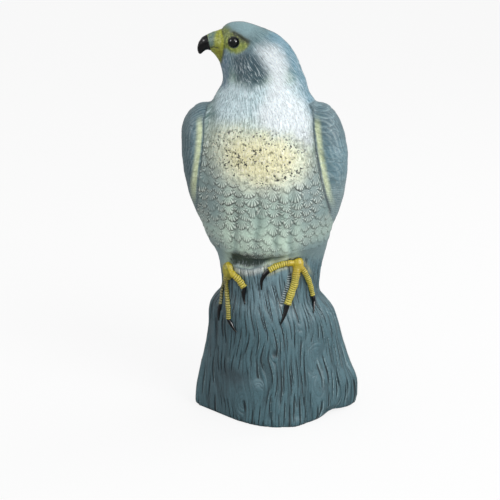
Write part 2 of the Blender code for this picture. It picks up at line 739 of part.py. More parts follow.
def base_cover(look):
    # The round cover: flange in the recess, spigot through the floor, hooks above it.
    floor_low, floor_high = RECESS_DEPTH, RECESS_DEPTH + FLOOR_THICKNESS
    flange_top = floor_low - SEAT_GAP
    flange_low = flange_top - COVER_FLANGE_THICKNESS
    spigot_top = flange_top + COVER_SPIGOT_HEIGHT
    outer = COVER_OPENING_RADIUS - SEAT_GAP
    cover = cylinder("base_cover", COVER_FLANGE_RADIUS, (0, 0, flange_low), (0, 0, flange_top), 48)
    spigot = cylinder("spigot", outer, (0, 0, flange_top - MM), (0, 0, spigot_top), 48)
    cover = combine(cover, [spigot], "UNION")
    inside = cylinder("inside", outer - COVER_WALL, (0, 0, flange_top), (0, 0, spigot_top + MM), 48)
    cover = combine(cover, [inside], "DIFFERENCE")
    neck = cylinder("neck", FILL_HOLE_RADIUS + FILL_NECK_WALL, (0, 0, flange_top - MM),
                    (0, 0, flange_top + FILL_NECK_HEIGHT))
    cover = combine(cover, [neck], "UNION")
    hooks = []
    for i in range(CATCH_COUNT):
        turn = Matrix.Rotation(math.pi * (2 * i + 1) / CATCH_COUNT, 4, "Z")
        catch = block("hook", (outer - COVER_WALL * 0.8, -CATCH_WIDTH / 2, floor_high + SEAT_GAP),
                      (outer + CATCH_REACH, CATCH_WIDTH / 2,
                       floor_high + SEAT_GAP + CATCH_THICKNESS))
        catch.data.transform(turn)
        hooks.append(catch)
    cover = combine(cover, hooks, "UNION")
    hole = cylinder("fill_hole", FILL_HOLE_RADIUS, (0, 0, 0),
                    (0, 0, flange_top + FILL_NECK_HEIGHT + MM))
    seat = cylinder("stopper_seat", STOPPER_FLANGE_RADIUS + STOPPER_CLEARANCE,
                    (0, 0, flange_low - MM), (0, 0, stopper_seat_height()))
    return finish(combine(cover, [hole, seat], "DIFFERENCE"), "base_cover", look)


def stopper_seat_height():
    return RECESS_DEPTH - SEAT_GAP - COVER_FLANGE_THICKNESS / 2


def fill_stopper(look):
    # A soft cup-shaped stopper with a flange and a bar to pull it by.
    top_of_flange = stopper_seat_height() - SEAT_GAP
    flange_low = top_of_flange - STOPPER_FLANGE_THICKNESS
    body_radius = FILL_HOLE_RADIUS - STOPPER_CLEARANCE
    body_top = top_of_flange + STOPPER_LENGTH
    stopper = cylinder("fill_stopper", STOPPER_FLANGE_RADIUS, (0, 0, flange_low),
                       (0, 0, top_of_flange))
    body = cylinder("body", body_radius, (0, 0, top_of_flange - MM / 2), (0, 0, body_top))
    stopper = combine(stopper, [body], "UNION")
    cup = cylinder("cup", body_radius - STOPPER_WALL, (0, 0, flange_low - MM),
                   (0, 0, body_top - STOPPER_WALL))
    stopper = combine(stopper, [cup], "DIFFERENCE")
    grip = block("grip", (-(body_radius - STOPPER_WALL / 2), -STOPPER_GRIP_WIDTH / 2, flange_low),
                 (body_radius - STOPPER_WALL / 2, STOPPER_GRIP_WIDTH / 2, body_top - STOPPER_WALL / 2))
    return finish(combine(stopper, [grip], "UNION"), "fill_stopper", look)


def shells(front_look, back_look):
    body = combine(outer_form(), [hollow(), *underside_cuts(), hook_socket()], "DIFFERENCE")
    far = CROWN_HEIGHT * 2
    half_gap = PARTING_GAP / 2
    back = copy_of(body, "back_shell")
    front = combine(body, [block("slab", (-far, -far, -far), (far, -half_gap, far))],
                    "INTERSECT")
    back = combine(back, [block("slab", (-far, half_gap, -far), (far, far, far))],
                   "INTERSECT")
    lips = [parting_lip(mix(0, STUMP_SHOULDER_HEIGHT, LOWER_LIP_START),
                        mix(STUMP_SHOULDER_HEIGHT, WAIST_HEIGHT, LOWER_LIP_END)),
            parting_lip(mix(WING_TOP_HEIGHT, THROAT_HEIGHT, UPPER_LIP_START),
                        mix(THROAT_HEIGHT, FACE_HEIGHT, UPPER_LIP_END))]
    front = combine(front, lips, "UNION")
    front = combine(front, [*eye_cuts(-1), *(peg_hole(shape) for shape in FEET.values())],
                    "DIFFERENCE")
    back = combine(back, eye_cuts(1), "DIFFERENCE")
    finish(front, "front_shell", front_look)
    finish(back, "back_shell", back_look)


def build():
    clear_scene()
    feather = material("blue_grey_plastic", (0.24, 0.33, 0.36), 0.5)
    bark = material("slate_plastic", (0.15, 0.21, 0.23), 0.55)
    black = material("gloss_black", (0.01, 0.01, 0.012), 0.12)
    yellow = material("yellow_plastic", (0.62, 0.47, 0.05), 0.5)
    claw = material("black_plastic", (0.015, 0.015, 0.017), 0.3)
    steel = material("washer_steel", (0.5, 0.5, 0.5), 0.35)
    cover = material("dark_cover_plastic", (0.06, 0.08, 0.09), 0.6)
    soft = material("stopper_rubber", (0.03, 0.03, 0.03), 0.8)
    shells(feather, feather)
    for name, side in (("left_eye", -1), ("right_eye", 1)):
        eye(name, side, black)
        washer(name + "_washer", side, steel)
    for name, shape in FEET.items():
        foot(name, shape, yellow)
        for toe in shape["toes"]:
            talon(name.replace("foot", toe.name + "_talon"), toe, claw)
    beak_hook(claw)
    base_cover(cover)
    fill_stopper(soft)


build()
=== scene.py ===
# Falcon decoy on a stump: the painted skins, feet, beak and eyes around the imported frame.
# Lengths in the dictionaries are millimetres, but those of the studio are metres.
import math
from types import SimpleNamespace

import bmesh
import bpy
import numpy as np
from mathutils import Matrix, Vector
from mathutils.bvhtree import BVHTree


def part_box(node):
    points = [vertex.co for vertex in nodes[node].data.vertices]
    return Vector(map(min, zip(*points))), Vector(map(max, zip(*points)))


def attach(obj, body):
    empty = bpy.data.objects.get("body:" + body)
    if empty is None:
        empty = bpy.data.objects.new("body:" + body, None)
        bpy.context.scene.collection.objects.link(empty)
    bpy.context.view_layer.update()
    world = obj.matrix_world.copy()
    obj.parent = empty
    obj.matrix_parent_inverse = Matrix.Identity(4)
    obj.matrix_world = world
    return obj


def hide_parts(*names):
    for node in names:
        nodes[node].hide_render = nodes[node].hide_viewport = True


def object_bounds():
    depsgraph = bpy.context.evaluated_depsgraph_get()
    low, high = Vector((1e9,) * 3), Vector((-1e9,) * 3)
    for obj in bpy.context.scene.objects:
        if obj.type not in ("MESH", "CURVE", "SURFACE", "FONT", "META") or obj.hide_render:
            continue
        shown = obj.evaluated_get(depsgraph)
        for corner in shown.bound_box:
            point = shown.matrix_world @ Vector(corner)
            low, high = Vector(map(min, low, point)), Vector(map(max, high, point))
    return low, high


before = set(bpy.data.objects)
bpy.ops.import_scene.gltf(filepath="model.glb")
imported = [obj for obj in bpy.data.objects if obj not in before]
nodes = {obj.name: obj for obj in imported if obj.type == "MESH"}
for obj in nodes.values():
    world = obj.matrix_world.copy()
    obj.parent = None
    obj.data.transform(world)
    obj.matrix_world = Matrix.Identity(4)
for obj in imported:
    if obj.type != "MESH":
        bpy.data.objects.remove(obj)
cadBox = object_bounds()
mm = 0.001
print("frame loaded")


# Camera, light and floor

studio = {
    "cameraAt": (-0.0227, -1.4338, 0.6115),
    "cameraTilt": 73.0,  # degrees up from straight down
    "lens": 103.97,
    "skyLight": 0.68,
    "aim": (0.0, 0.0, 0.2),
    # place, power and size; the glints are seen only in reflections, on the claws and the hook
    "lamps": {
        "keyLamp": ((0.9, -1.1, 1.5), 15.0, 0.9),
        "rimLamp": ((1.1, 0.7, 1.2), 4.0, 0.9),
        "clawGlint": ((1.11, -0.76, 0.70), 22.0, 0.55),
        "hookGlint": ((-1.18, -0.55, 1.02), 14.0, 0.55),
    },
    "floorGlow": 0.84,  # share of the floor that the camera sees as plain white
    "floorBounce": 0.5,  # share of the light that the paper throws back
}


def hexColour(code):
    # an sRGB hex colour as linear RGBA
    parts = [int(code[i:i + 2], 16) / 255 for i in (1, 3, 5)]
    return (*[p / 12.92 if p <= 0.04045 else ((p + 0.055) / 1.055) ** 2.4 for p in parts], 1)


def addNode(tree, kind, inputs=None, **settings):
    # inputs: socket name or number, and its value, or the node or output that feeds it
    node = tree.nodes.new("ShaderNode" + kind)
    for name, value in settings.items():
        setattr(node, name, value)
    for name, value in (inputs or {}).items():
        if isinstance(value, bpy.types.Node):
            value = next(output for output in value.outputs if output.enabled)
        if isinstance(value, bpy.types.NodeSocket):
            tree.links.new(value, node.inputs[name])
        else:
            node.inputs[name].default_value = value
    return node


def newMaterial(name):
    made = bpy.data.materials.new(name)
    made.use_nodes = True
    made.node_tree.nodes.clear()
    return made, made.node_tree


def placed(name, data):
    made = bpy.data.objects.new(name, data)
    bpy.context.scene.collection.objects.link(made)
    return made


def newObject(name, bm):
    mesh = bpy.data.meshes.new(name)
    bm.to_mesh(mesh)
    bm.free()
    return placed(name, mesh)


def studioCamera():
    data = bpy.data.cameras.new("camera")
    data.lens = studio["lens"]
    data.sensor_width = 36
    camera = placed("camera", data)
    camera.location = studio["cameraAt"]
    camera.rotation_euler = (math.radians(studio["cameraTilt"]), 0, 0)
    bpy.context.scene.camera = camera


def softLamp(name, place, power, size):
    data = bpy.data.lights.new(name, "AREA")
    data.shape = "DISK"
    data.energy = power
    data.size = size
    lamp = placed(name, data)
    lamp.location = place
    toAim = Vector(studio["aim"]) - Vector(place)
    lamp.rotation_euler = toAim.to_track_quat("-Z", "Y").to_euler()
    lamp.visible_diffuse = not name.endswith("Glint")


def studioSky():
    world = bpy.data.worlds.new("studioSky")
    world.use_nodes = True
    tree = world.node_tree
    tree.nodes.clear()
    seen = addNode(tree, "LightPath").outputs["Is Camera Ray"]
    light = addNode(tree, "Background", {"Color": (1, 1, 1, 1), "Strength": studio["skyLight"]})
    white = addNode(tree, "Background", {"Color": (1, 1, 1, 1), "Strength": 1.0})
    both = addNode(tree, "MixShader", {0: seen, 1: light, 2: white})
    addNode(tree, "OutputWorld", {"Surface": both})
    bpy.context.scene.world = world


def studioFloor():
    bm = bmesh.new()
    bmesh.ops.create_grid(bm, x_segments=1, y_segments=1, size=15)
    floor = newObject("floor", bm)
    made, tree = newMaterial("whitePaper")  # matt paper, which shows the soft shadow
    seen = addNode(tree, "LightPath").outputs["Is Camera Ray"]
    paper = addNode(tree, "BsdfDiffuse", {"Color": hexColour("#f2f2f2")})
    glow = addNode(tree, "Emission", {"Color": (1, 1, 1, 1), "Strength": seen})
    share = addNode(tree, "MapRange", {0: seen, 3: 1 - studio["floorBounce"],
                                       4: studio["floorGlow"]})
    both = addNode(tree, "MixShader", {0: share, 1: paper, 2: glow})
    addNode(tree, "OutputMaterial", {"Surface": both})
    floor.data.materials.append(made)


studioCamera()
for name, (place, power, size) in studio["lamps"].items():
    softLamp(name, place, power, size)
studioSky()
studioFloor()
bpy.context.scene.view_settings.view_transform = "Standard"
print("studio ready")


# Mesh tools

def applyModifier(obj, kind, **settings):
    # adds one modifier with its settings, and applies it
    modifier = obj.modifiers.new(kind, kind)
    for name, value in settings.items():
        setattr(modifier, name, value)
    graph = bpy.context.evaluated_depsgraph_get()
    mesh = bpy.data.meshes.new_from_object(obj.evaluated_get(graph))
    obj.modifiers.clear()
    obj.data = mesh


def fromNodes(names):
    # the CAD nodes' meshes in one bmesh, their loose facets merged
    bm = bmesh.new()
    for name in names:
        bm.from_mesh(nodes[name].data)
    bmesh.ops.remove_doubles(bm, verts=bm.verts, dist=1e-6)
    return bm


def fuse(obj, voxel):
    # one closed skin round everything in the object, in even quads
    applyModifier(obj, "REMESH", mode="VOXEL", voxel_size=voxel * mm)


def combine(obj, other, operation):
    # both closed; the other mesh is used up
    applyModifier(obj, "BOOLEAN", operation=operation, solver="MANIFOLD", object=other)
    bpy.data.objects.remove(other, do_unlink=True)


def vectors(items, name):
    flat = np.empty(len(items) * 3)
    items.foreach_get(name, flat)
    return flat.reshape(-1, 3)


def points(mesh):
    # vertex places in mm
    return vectors(mesh.vertices, "co") / mm


def setPoints(mesh, places):
    mesh.vertices.foreach_set("co", (places * mm).ravel())
    mesh.update()


def raised(mesh, height):
    # the points moved out along their normals
    return points(mesh) + vectors(mesh.vertex_normals, "vector") * height[:, None]


def blur(mesh, values, amounts):
    # moves each point's values towards, or for a negative amount away from, its neighbours'
    edges = np.empty(len(mesh.edges) * 2, dtype=np.int64)
    mesh.edges.foreach_get("vertices", edges)
    start, end = edges.reshape(-1, 2).T
    count = len(values)
    links = np.bincount(start, minlength=count) + np.bincount(end, minlength=count)
    for amount in amounts:
        for axis in range(values.shape[1]):
            here = values[:, axis]
            total = np.bincount(start, here[end], count) + np.bincount(end, here[start], count)
            values[:, axis] = here + amount * (total / links - here)
    return values


def relax(mesh, pairs, plain):
    # evens out the facets: paired steps keep the volume, plain ones only smooth
    setPoints(mesh, blur(mesh, points(mesh), (0.5, -0.53) * pairs + (0.5,) * plain))


def settle(mesh, tree, rounds):
    # brings a relaxed skin back to the surface that it came from, without its facets
    places = points(mesh)
    nearest = np.array([tree.find_nearest(Vector(place) * mm)[0] for place in places]) / mm
    setPoints(mesh, places + blur(mesh, nearest - places, (0.5,) * rounds))


def keep(mesh, name, values):
    # numbers or vectors on the mesh's points, for its material to read
    kind, field = ("FLOAT", "value") if values.ndim == 1 else ("FLOAT_VECTOR", "vector")
    kept = mesh.attributes.new(name, kind, "POINT")
    kept.data.foreach_set(field, values.astype(np.float32).ravel())


# Patterns worked out over the points of a skin

randomTable = np.random.default_rng(12).uniform(-1, 1, 4099)


def ramp(value, start, full):
    # 0 at start, 1 at full, smooth between; full may be the lower one
    share = np.clip((value - start) / (full - start), 0, 1)
    return share * share * (3 - 2 * share)


def band(value, start, full, fade, end):
    return ramp(value, start, full) * ramp(value, end, fade)


def hill(distance, width):
    return np.exp(-((distance / width) ** 2))


def chance(*keys):
    # a steady random value from -1 to 1 for whole numbers
    total = 0
    for key, factor in zip(keys, (1619, 31337, 6971, 1013)):
        total = total + np.asarray(key, dtype=np.int64) * factor
    return randomTable[total % len(randomTable)]


def noise(places, size, seed=0):
    # soft random values, one cell every size mm
    cells = places / np.asarray(size, dtype=float)
    base = np.floor(cells)
    part = cells - base
    part = part * part * (3 - 2 * part)
    total = 0
    for corner in range(8):
        step = np.array([corner & 1, corner >> 1 & 1, corner >> 2 & 1])
        at = (base + step).astype(np.int64)
        weight = np.prod(np.where(step == 1, part, 1 - part), axis=1)
        total = total + weight * chance(at[:, 0], at[:, 1], at[:, 2], seed)
    return total


def layer(across, along):
    return np.stack([across, along, np.zeros(len(across))], axis=1)


def alongLine(x, z, line):
    # distance from a line of (x, z) points, and how far along it, in mm
    best = np.full(len(x), 1e9)
    run = np.zeros(len(x))
    done = 0.0
    for (x0, z0), (x1, z1) in zip(line, line[1:]):
        length = math.hypot(x1 - x0, z1 - z0)
        share = np.clip(((x - x0) * (x1 - x0) + (z - z0) * (z1 - z0)) / length**2, 0, 1)
        away = np.hypot(x - x0 - share * (x1 - x0), z - z0 - share * (z1 - z0))
        nearer = away < best
        best = np.where(nearer, away, best)
        run = np.where(nearer, done + share * length, run)
        done += length
    return best, run


def lineAt(line, value, byHeight=False):
    # where a line of points stands at an X, or else its X at a height
    return np.interp(value, *zip(*(sorted(p[::-1] for p in line) if byHeight else line)))


def patch(x, z, outline, soft):
    # 1 inside an outline of (x, z) points, 0 outside, with an edge 2 x soft wide
    closed = (*outline, outline[0])
    away, _ = alongLine(x, z, closed)
    inside = np.zeros(len(x), dtype=bool)
    for (x0, z0), (x1, z1) in zip(closed, closed[1:]):
        if z0 != z1:
            inside ^= ((z0 > z) != (z1 > z)) & (x < x0 + (z - z0) * (x1 - x0) / (z1 - z0))
    return ramp(np.where(inside, away, -away), -soft, soft)
def rowsOfFeathers(across, down, pitch, tip, seed):
    # Rounded feathers in uneven rows, each row over the one below it; across is counted in
    # feathers. Gives the signed distance below the nearest edge, the distance above the
    # point's own feather's edge, its place across the feather from -1 to 1 and its own value.
    row = np.floor(down / pitch)
    found = []
    for step in (0, 1):
        here = row + step
        shifted = across - 0.5 * (here % 2) - 0.2 * chance(here, seed + 1)
        column = np.floor(shifted)
        side = (shifted - column) * 2 - 1
        own = chance(here, column, seed)
        edge = here * pitch + tip * np.sqrt(np.clip(1 - side**2, 0, 1)) * (1 + 0.16 * own)
        found.append((edge, side, own))
    (edge0, side0, own0), (edge1, side1, own1) = found
    upper = down < edge0
    above = np.where(upper, edge0 - down, edge1 - down)
    return down - edge0, above, np.where(upper, side0, side1), np.where(upper, own0, own1)


def grooves(turns, height, columns, length, width, seed):
    # Long tapered grooves down a trunk: the signed distance from the middle line of the
    # nearest one, and half its width there, below 0 away from it; both in mm.
    place = turns * columns
    offset = np.full(len(turns), 9.0)
    half = np.full(len(turns), -9.0)
    for step in (-1, 0, 1):
        column = np.floor(place) + step
        wrapped = column % columns
        shift = chance(wrapped, seed) * length
        for rise in (0, 1):
            row = np.floor((height + shift) / length) + rise
            reach = length * (0.43 + 0.1 * chance(wrapped, row, seed + 3))
            run = (height + shift - row * length) / reach
            middle = column + 0.5 + 0.27 * chance(wrapped, row, seed + 1)
            middle = middle + 0.13 * np.sin(run * 1.6 + 3 * chance(wrapped, row, seed + 2))
            away = (place - middle) * body["girth"] / columns
            wide = width * (1 - run**2) * (0.75 + 0.35 * chance(wrapped, row, seed + 4))
            nearer = wide - np.abs(away) > half - np.abs(offset)
            offset = np.where(nearer, away, offset)
            half = np.where(nearer, wide, half)
    return offset, np.where(np.abs(offset) > 1.7, -1.0, half)


# The moulded skin

body = {
    "voxel": 2.35,
    "gap": 0.15,  # half the parting gap
    "relieved": 0.6,  # the inside wall stands this much further in, behind the relief
    "hollowReach": 85,
    "deepest": 1.6,  # no relief goes deeper into the wall
    "axisHeights": (0, 40, 110, 180, 260, 330, 353, 388, 410),
    "axisX": (4, 5.5, 0, -2, -9, -9, -8, -19, -33),
    "featherColumns": 34,
    "featherPitch": 8.9,
    "featherLift": 1.35,
    "folds": (-36.5, -15.5, 4.0, 18.5),  # X of the soft valleys down the belly
    "veinWidth": 4.6,  # of the bark's grain
    "veinLength": 52,
    "girth": 420,  # round the stump
    "grooveColumns": 68,
    "grooveLength": 42,
    "grooveWidth": 0.85,  # half the width of the widest
    "grooveDepth": 1.1,
    # X, height, reach, and the way that the rings of a knot face, in turns
    "knots": ((-29, 22, 13.0, 0.5), (47, 68, 14.0, 0.45), (50, 40, 11.0, 0.55),
              (28, 94, 6.0, 0.1), (-14, 42, 7.0, 0.25), (2.5, 80, 6.0, 0.6)),
    "pit": (2.5, 79),
    "seamRidge": 0.35,
    "ribPitch": 2.3,  # of the strip beside the left foot's middle toe
    "floorHole": 34,  # radius of the opening in the stump's floor
    "pegs": {"left_foot": (25.8, 170.5), "right_foot": (-44.4, 161.0)},
    "pegLength": 9.0,
    "eyePlug": 6.9,  # from the bead's top to the middle of the plug in its bore
    "pegHole": 2.8,  # radius, as the next ones
    "eyePocket": 5.7,
    "eyeBore": 1.9,
    "eyePocketDepth": 4.55,  # from the bead's top
}

# Lines as X and height. Two are height and radians: the wing's middle line, counted from the
# front, and the half width of the mantle, from the back.
lines = {
    "barkTop": ((-90, 128), (-62, 146), (-41, 165), (-23, 165.5), (-11, 169), (3, 172),
                (18, 177), (30, 177), (48, 170), (90, 160)),
    "hem": ((-90, 188), (-53, 180), (-41, 181), (-28, 177), (-13, 177), (2, 180), (17, 183),
            (28, 186), (43, 184), (90, 188)),
    "rightWing": ((34, 333), (39.8, 324), (40.3, 306), (42.6, 290), (45.5, 273.5), (48.4, 258),
                  (52.6, 241.6), (57.7, 224.8), (63, 203)),
    "leftWing": ((-64, 332), (-69, 315), (-68.8, 300), (-70, 287), (-72.4, 270), (-75, 250),
                 (-76, 232), (-77, 218), (-78, 205)),
    "wingMiddle": ((96, 2.93), (126, 2.70), (168, 2.25), (212, 1.87), (298, 1.62), (330, 1.55)),
    "mantle": ((150, 0.0), (200, 0.25), (260, 0.62), (320, 1.0)),
    "nape": ((32, 320), (24, 345), (14, 365), (2, 385), (-12, 400)),
    "cere": ((-51.2, 404.5), (-48.9, 398), (-47.7, 393), (-48.0, 388), (-49.0, 380), (-51, 370)),
    "brow": ((-39, 400.4), (-36, 399.3), (-33, 397.6), (-29.5, 395.6), (-24.6, 393)),
    "mouth": ((-62.5, 384.6), (-58.5, 386.0), (-53.6, 385.2)),
}

# the middle line of each toe, as X and height, from its knuckle to the root of the talon
toes = {
    "left_foot": (
        ((24.0, 171.5), (15.5, 172.3), (8.8, 171.1), (2.2, 168.8), (-3.8, 165.6)),
        ((25.0, 169.5), (23.8, 159.7), (22.6, 151.0), (19.7, 142.7), (15.3, 129.5)),
        ((27.5, 169.5), (32.7, 160.8), (36.3, 152.8), (39.1, 143.8), (41.4, 132.6))),
    "right_foot": (
        ((-43.5, 161.0), (-39.9, 157.4), (-34.7, 153.6), (-28.5, 145.5)),
        ((-44.6, 160.5), (-46.9, 151.9), (-46.6, 141.2), (-45.7, 130.6), (-44.8, 120.7),
         (-44.6, 110.2)),
        ((-46.0, 159.5), (-49.1, 143.5), (-51.3, 132.8), (-53.0, 121.8))),
}

# outlines on the front, as X and height
shapes = {
    "forehead": ((-54, 399), (-50, 406.5), (-45, 407), (-39, 403), (-32, 399), (-25, 394),
                 (-30, 391), (-45, 396)),
    "olive": ((-54, 402), (-47.5, 404.2), (-43.5, 403.2), (-39.3, 400.3), (-33.6, 397.9),
              (-29.5, 395.7), (-24.6, 393.3), (-23.6, 391.2), (-26.2, 386.8), (-31.1, 383.1),
              (-36.4, 381.2), (-41.7, 382.8), (-46.5, 385), (-52, 386)),
    "beakGrey": ((-64, 399), (-59, 400.5), (-56.2, 400), (-57.6, 397), (-58.2, 391.5),
                 (-58, 387.2), (-63, 384), (-68, 385)),
    "cheek": ((-41.5, 378), (-36, 383), (-26.2, 384), (-17.5, 382), (-11.5, 377),
              (-7.2, 370), (-4.5, 362.6), (-6.8, 356.5), (-11.6, 352), (-19.7, 350),
              (-29.5, 350.7), (-35.7, 353.1), (-38.8, 359.9), (-40.2, 368.7)),
    "white": ((-16, 388), (-9, 389), (-1.9, 389), (6.2, 385.8), (11.1, 377.3), (13.5, 367.7),
              (12.4, 360.2), (14.8, 351), (19.4, 343.8), (27, 336.6), (38, 318), (39.6, 296),
              (31.5, 294), (18, 305.6), (0, 311), (-13, 317), (-16, 328), (-8.4, 338.7),
              (-5.2, 346.1), (-3.1, 353.5), (-3.5, 362.6), (-6.6, 370.9), (-11.4, 379.8)),
    "throat": ((-50, 378), (-43.4, 377.8), (-43.6, 367.1), (-42.7, 358.9), (-46.9, 346),
               (-56, 346), (-56, 360.5)),
    "cream": ((-64, 298), (-56, 308), (-38, 314), (-14.8, 312), (4, 310), (19, 303),
              (33, 292), (36, 277), (28, 262), (8, 255), (-14.7, 253),
              (-35, 257), (-49, 265), (-58, 277), (-63, 288)),
    "creamHeart": ((-46, 290), (-32, 302), (-12, 304), (8, 299), (21, 287), (18, 272), (-4, 263),
                   (-28, 265), (-42, 276)),
    "breast": ((-68, 286), (-62, 306), (-45, 318), (-20, 320), (4, 324), (28, 318), (42, 296),
               (34, 266), (10, 246), (-20, 244), (-50, 254), (-62, 268)),
    # the outline of the painted shade under the belly's hem
    "hemShade": ((-42.5, 172), (-42.5, 181), (-37, 186), (-28, 185), (-18, 183), (-7, 182),
                (3, 181), (12, 181.2), (11, 179.8), (4, 178.6), (-4, 175.5),
                (-9, 171.5), (-18, 167.5), (-29, 166), (-38, 168)),
    "stumpTop": ((-38, 164.5), (-29, 164), (-18, 166), (-9, 170.5), (-3, 172.5), (-8, 165),
                 (-18, 160.5), (-27, 158), (-38, 160)),
    "plainBark": ((-52, 24), (-50, 50), (-34, 54), (-16, 50), (-9, 38), (-12, 24)),
}

# mm that a fine noise warps an outline by in X and in height, that a broad one warps it by in
# height, and half the width of its sprayed edge
softness = {
    "forehead": (1.2, 0, 0, 2.2), "olive": (0.6, 0.8, 0, 1.9), "beakGrey": (0, 0.3, 0, 1.9),
    "cheek": (1.5, 2.0, 0, 6.5), "white": (1.2, 0, 3.0, 8), "throat": (0, 0, 0, 3),
    "cream": (1.2, 0, 3.0, 11), "creamHeart": (1.2, 0, 3.0, 9), "breast": (1.2, 0, 3.0, 14),
    "hemShade": (2.0, 2.2, 0, 4.2),
}

face = {
    "eye": (-39.0, 392.3),
    "nostril": (-53.4, 396.6),
    "hookPlane": (-63.35, 388.8),
    "hookDip": math.radians(14),  # the tilt of the hook's flat and spigot
    "hookGap": 0.15,  # between the skin and the hook's flat
    "hookSocket": 2.7,  # radius
    "hookSocketDepth": 6.6,
}


def wallAt(shells, x, height, out):
    # where the inside wall is from the axis, just beside the parting gap
    beside = math.copysign(0.6, out.y) * mm
    return shells.ray_cast(Vector((x, beside, height)), out)[0]


def flatPlug(low, high, inset):
    # a block that fills the recess under the stump, read from the recess wall
    shells = BVHTree.FromBMesh(fromNodes(["front_shell", "back_shell"]))
    bm = bmesh.new()
    bmesh.ops.create_cone(bm, cap_ends=True, segments=64, radius1=mm, radius2=mm,
                          depth=(high - low) * mm,
                          matrix=Matrix.Translation((0, 0, (low + high) / 2 * mm)))
    for vert in bm.verts:
        out = Vector((vert.co.x, vert.co.y, 0)).normalized()
        hit = wallAt(shells, 0, 2.5 * mm, out)
        reach = Vector((hit.x, hit.y, 0)).length + inset * mm
        vert.co.x, vert.co.y = out.x * reach, out.y * reach
    return bm


def hollowForm():
    # the inside of the moulding, read from the inside walls of the CAD shells
    shells = BVHTree.FromBMesh(fromNodes(["front_shell", "back_shell"]))
    heights = np.linspace(8.2, 390, 56)
    bm = bmesh.new()
    bmesh.ops.create_circle(bm, cap_ends=True, segments=48, radius=mm,
                            matrix=Matrix.Translation((0, 0, heights[0] * mm)))
    rings = [list(bm.verts)]
    edges = bm.edges[:]
    for height in heights[1:]:
        made = bmesh.ops.extrude_edge_only(bm, edges=edges)["geom"]
        rings.append([v for v in made if isinstance(v, bmesh.types.BMVert)])
        edges = [e for e in made if isinstance(e, bmesh.types.BMEdge)]
    bmesh.ops.holes_fill(bm, edges=edges, sides=0)
    for height, ring in zip(heights, rings):
        axis = np.interp(height, body["axisHeights"], body["axisX"])
        middle = Vector((axis * mm, 0, height * mm))
        for vert in ring:
            out = Vector((vert.co.x, vert.co.y, 0)).normalized()
            hit = wallAt(shells, middle.x, middle.z, out)
            reach = (hit - middle).length - body["relieved"] * mm if hit else 6 * mm
            vert.co = middle + out * min(reach, body["hollowReach"] * mm)
    bmesh.ops.recalc_face_normals(bm, faces=bm.faces)
    return newObject("hollow", bm)


def eyeAxis(node):
    # X and height of an eye's stem, its side, and how far the bead's top and the stem's end are
    low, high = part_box(node)
    end, top = sorted((abs(low[1]), abs(high[1])))
    return (low[0] + high[0]) / 2, (low[2] + high[2]) / 2, 1 if high[1] > 0 else -1, top, end


def outerForm():
    # the whole outside as one closed skin: shells, hook and plugs in every opening
    bm = fromNodes(["front_shell", "back_shell", "beak_hook"])
    plug = bpy.data.meshes.new("plug")
    flatPlug(0, 9, 1.5).to_mesh(plug)
    bm.from_mesh(plug)
    balls = []  # which fill the holes of the pegs and the eyes
    for foot, (x, z) in body["pegs"].items():
        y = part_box(foot)[1][1] - body["pegLength"] * mm  # where the peg leaves the skin
        balls.append((4.5, (x * mm, y + mm, z * mm)))
    for eye in ("left_eye", "right_eye"):
        x, z, side, top, _ = eyeAxis(eye)
        balls.append((2.8, (x, side * (top - body["eyePlug"] * mm), z)))
    for radius, place in balls:
        bmesh.ops.create_icosphere(bm, subdivisions=3, radius=radius * mm,
                                   matrix=Matrix.Translation(place))
    surface = BVHTree.FromBMesh(bm)
    form = newObject("outerForm", bm)
    fuse(form, body["voxel"])
    relax(form.data, 8, 5)
    settle(form.data, surface, 10)
    applyModifier(form, "SUBSURF", levels=1, render_levels=1)
    return form


def regions(places):
    # where bark, bird and wings are, and the coordinates that their patterns follow
    x, y, z = places.T
    axis = np.interp(z, body["axisHeights"], body["axisX"])
    theta = np.arctan2(x - axis, -y)  # 0 in front, grows to +X, half a turn behind
    turned = np.abs(theta)
    front = ramp(-y, -6, 6)
    behind = 1 - front
    top = lineAt(lines["barkTop"], x) * front + 150 * behind
    soft = 9 * ramp(np.abs(x + 5), 28, 46) * front
    bark = ramp(z, top + 1.5 + soft, top - 2.5 - soft)
    inner = np.where(x > axis, x - lineAt(lines["rightWing"], z, True),
                     lineAt(lines["leftWing"], z, True) - x)
    outward = inner * front + (turned - 1.2) * 40 * behind  # mm outside the wing's inner edge
    across = turned - lineAt(lines["wingMiddle"], z)
    backEdge = (math.pi - turned - lineAt(lines["mantle"], z)) * 45
    leadingEdge = (across + 0.42) * 45 + 60 * ramp(z, 196, 222)  # it runs back to the wing's tip
    outward = np.where(front > 0.5, outward, np.minimum(backEdge, leadingEdge))
    lower = np.where(front > 0.5, ramp(z, 202, 214), ramp(z, 92, 104))
    wing = ramp(outward, -1, 1) * band(z, 92, 104, 328, 334) * lower
    tail = behind * ramp(np.abs(x - axis), 25, 22) * band(z, 52, 56, 150, 175)
    tail = tail * (1 - wing) * ramp(y, 38, 44)
    bark = bark * (1 - wing * behind) * (1 - tail)
    return SimpleNamespace(x=x, y=y, z=z, axis=axis, theta=theta, front=front, bark=bark,
                           wing=wing, tail=tail, across=across, outward=outward)


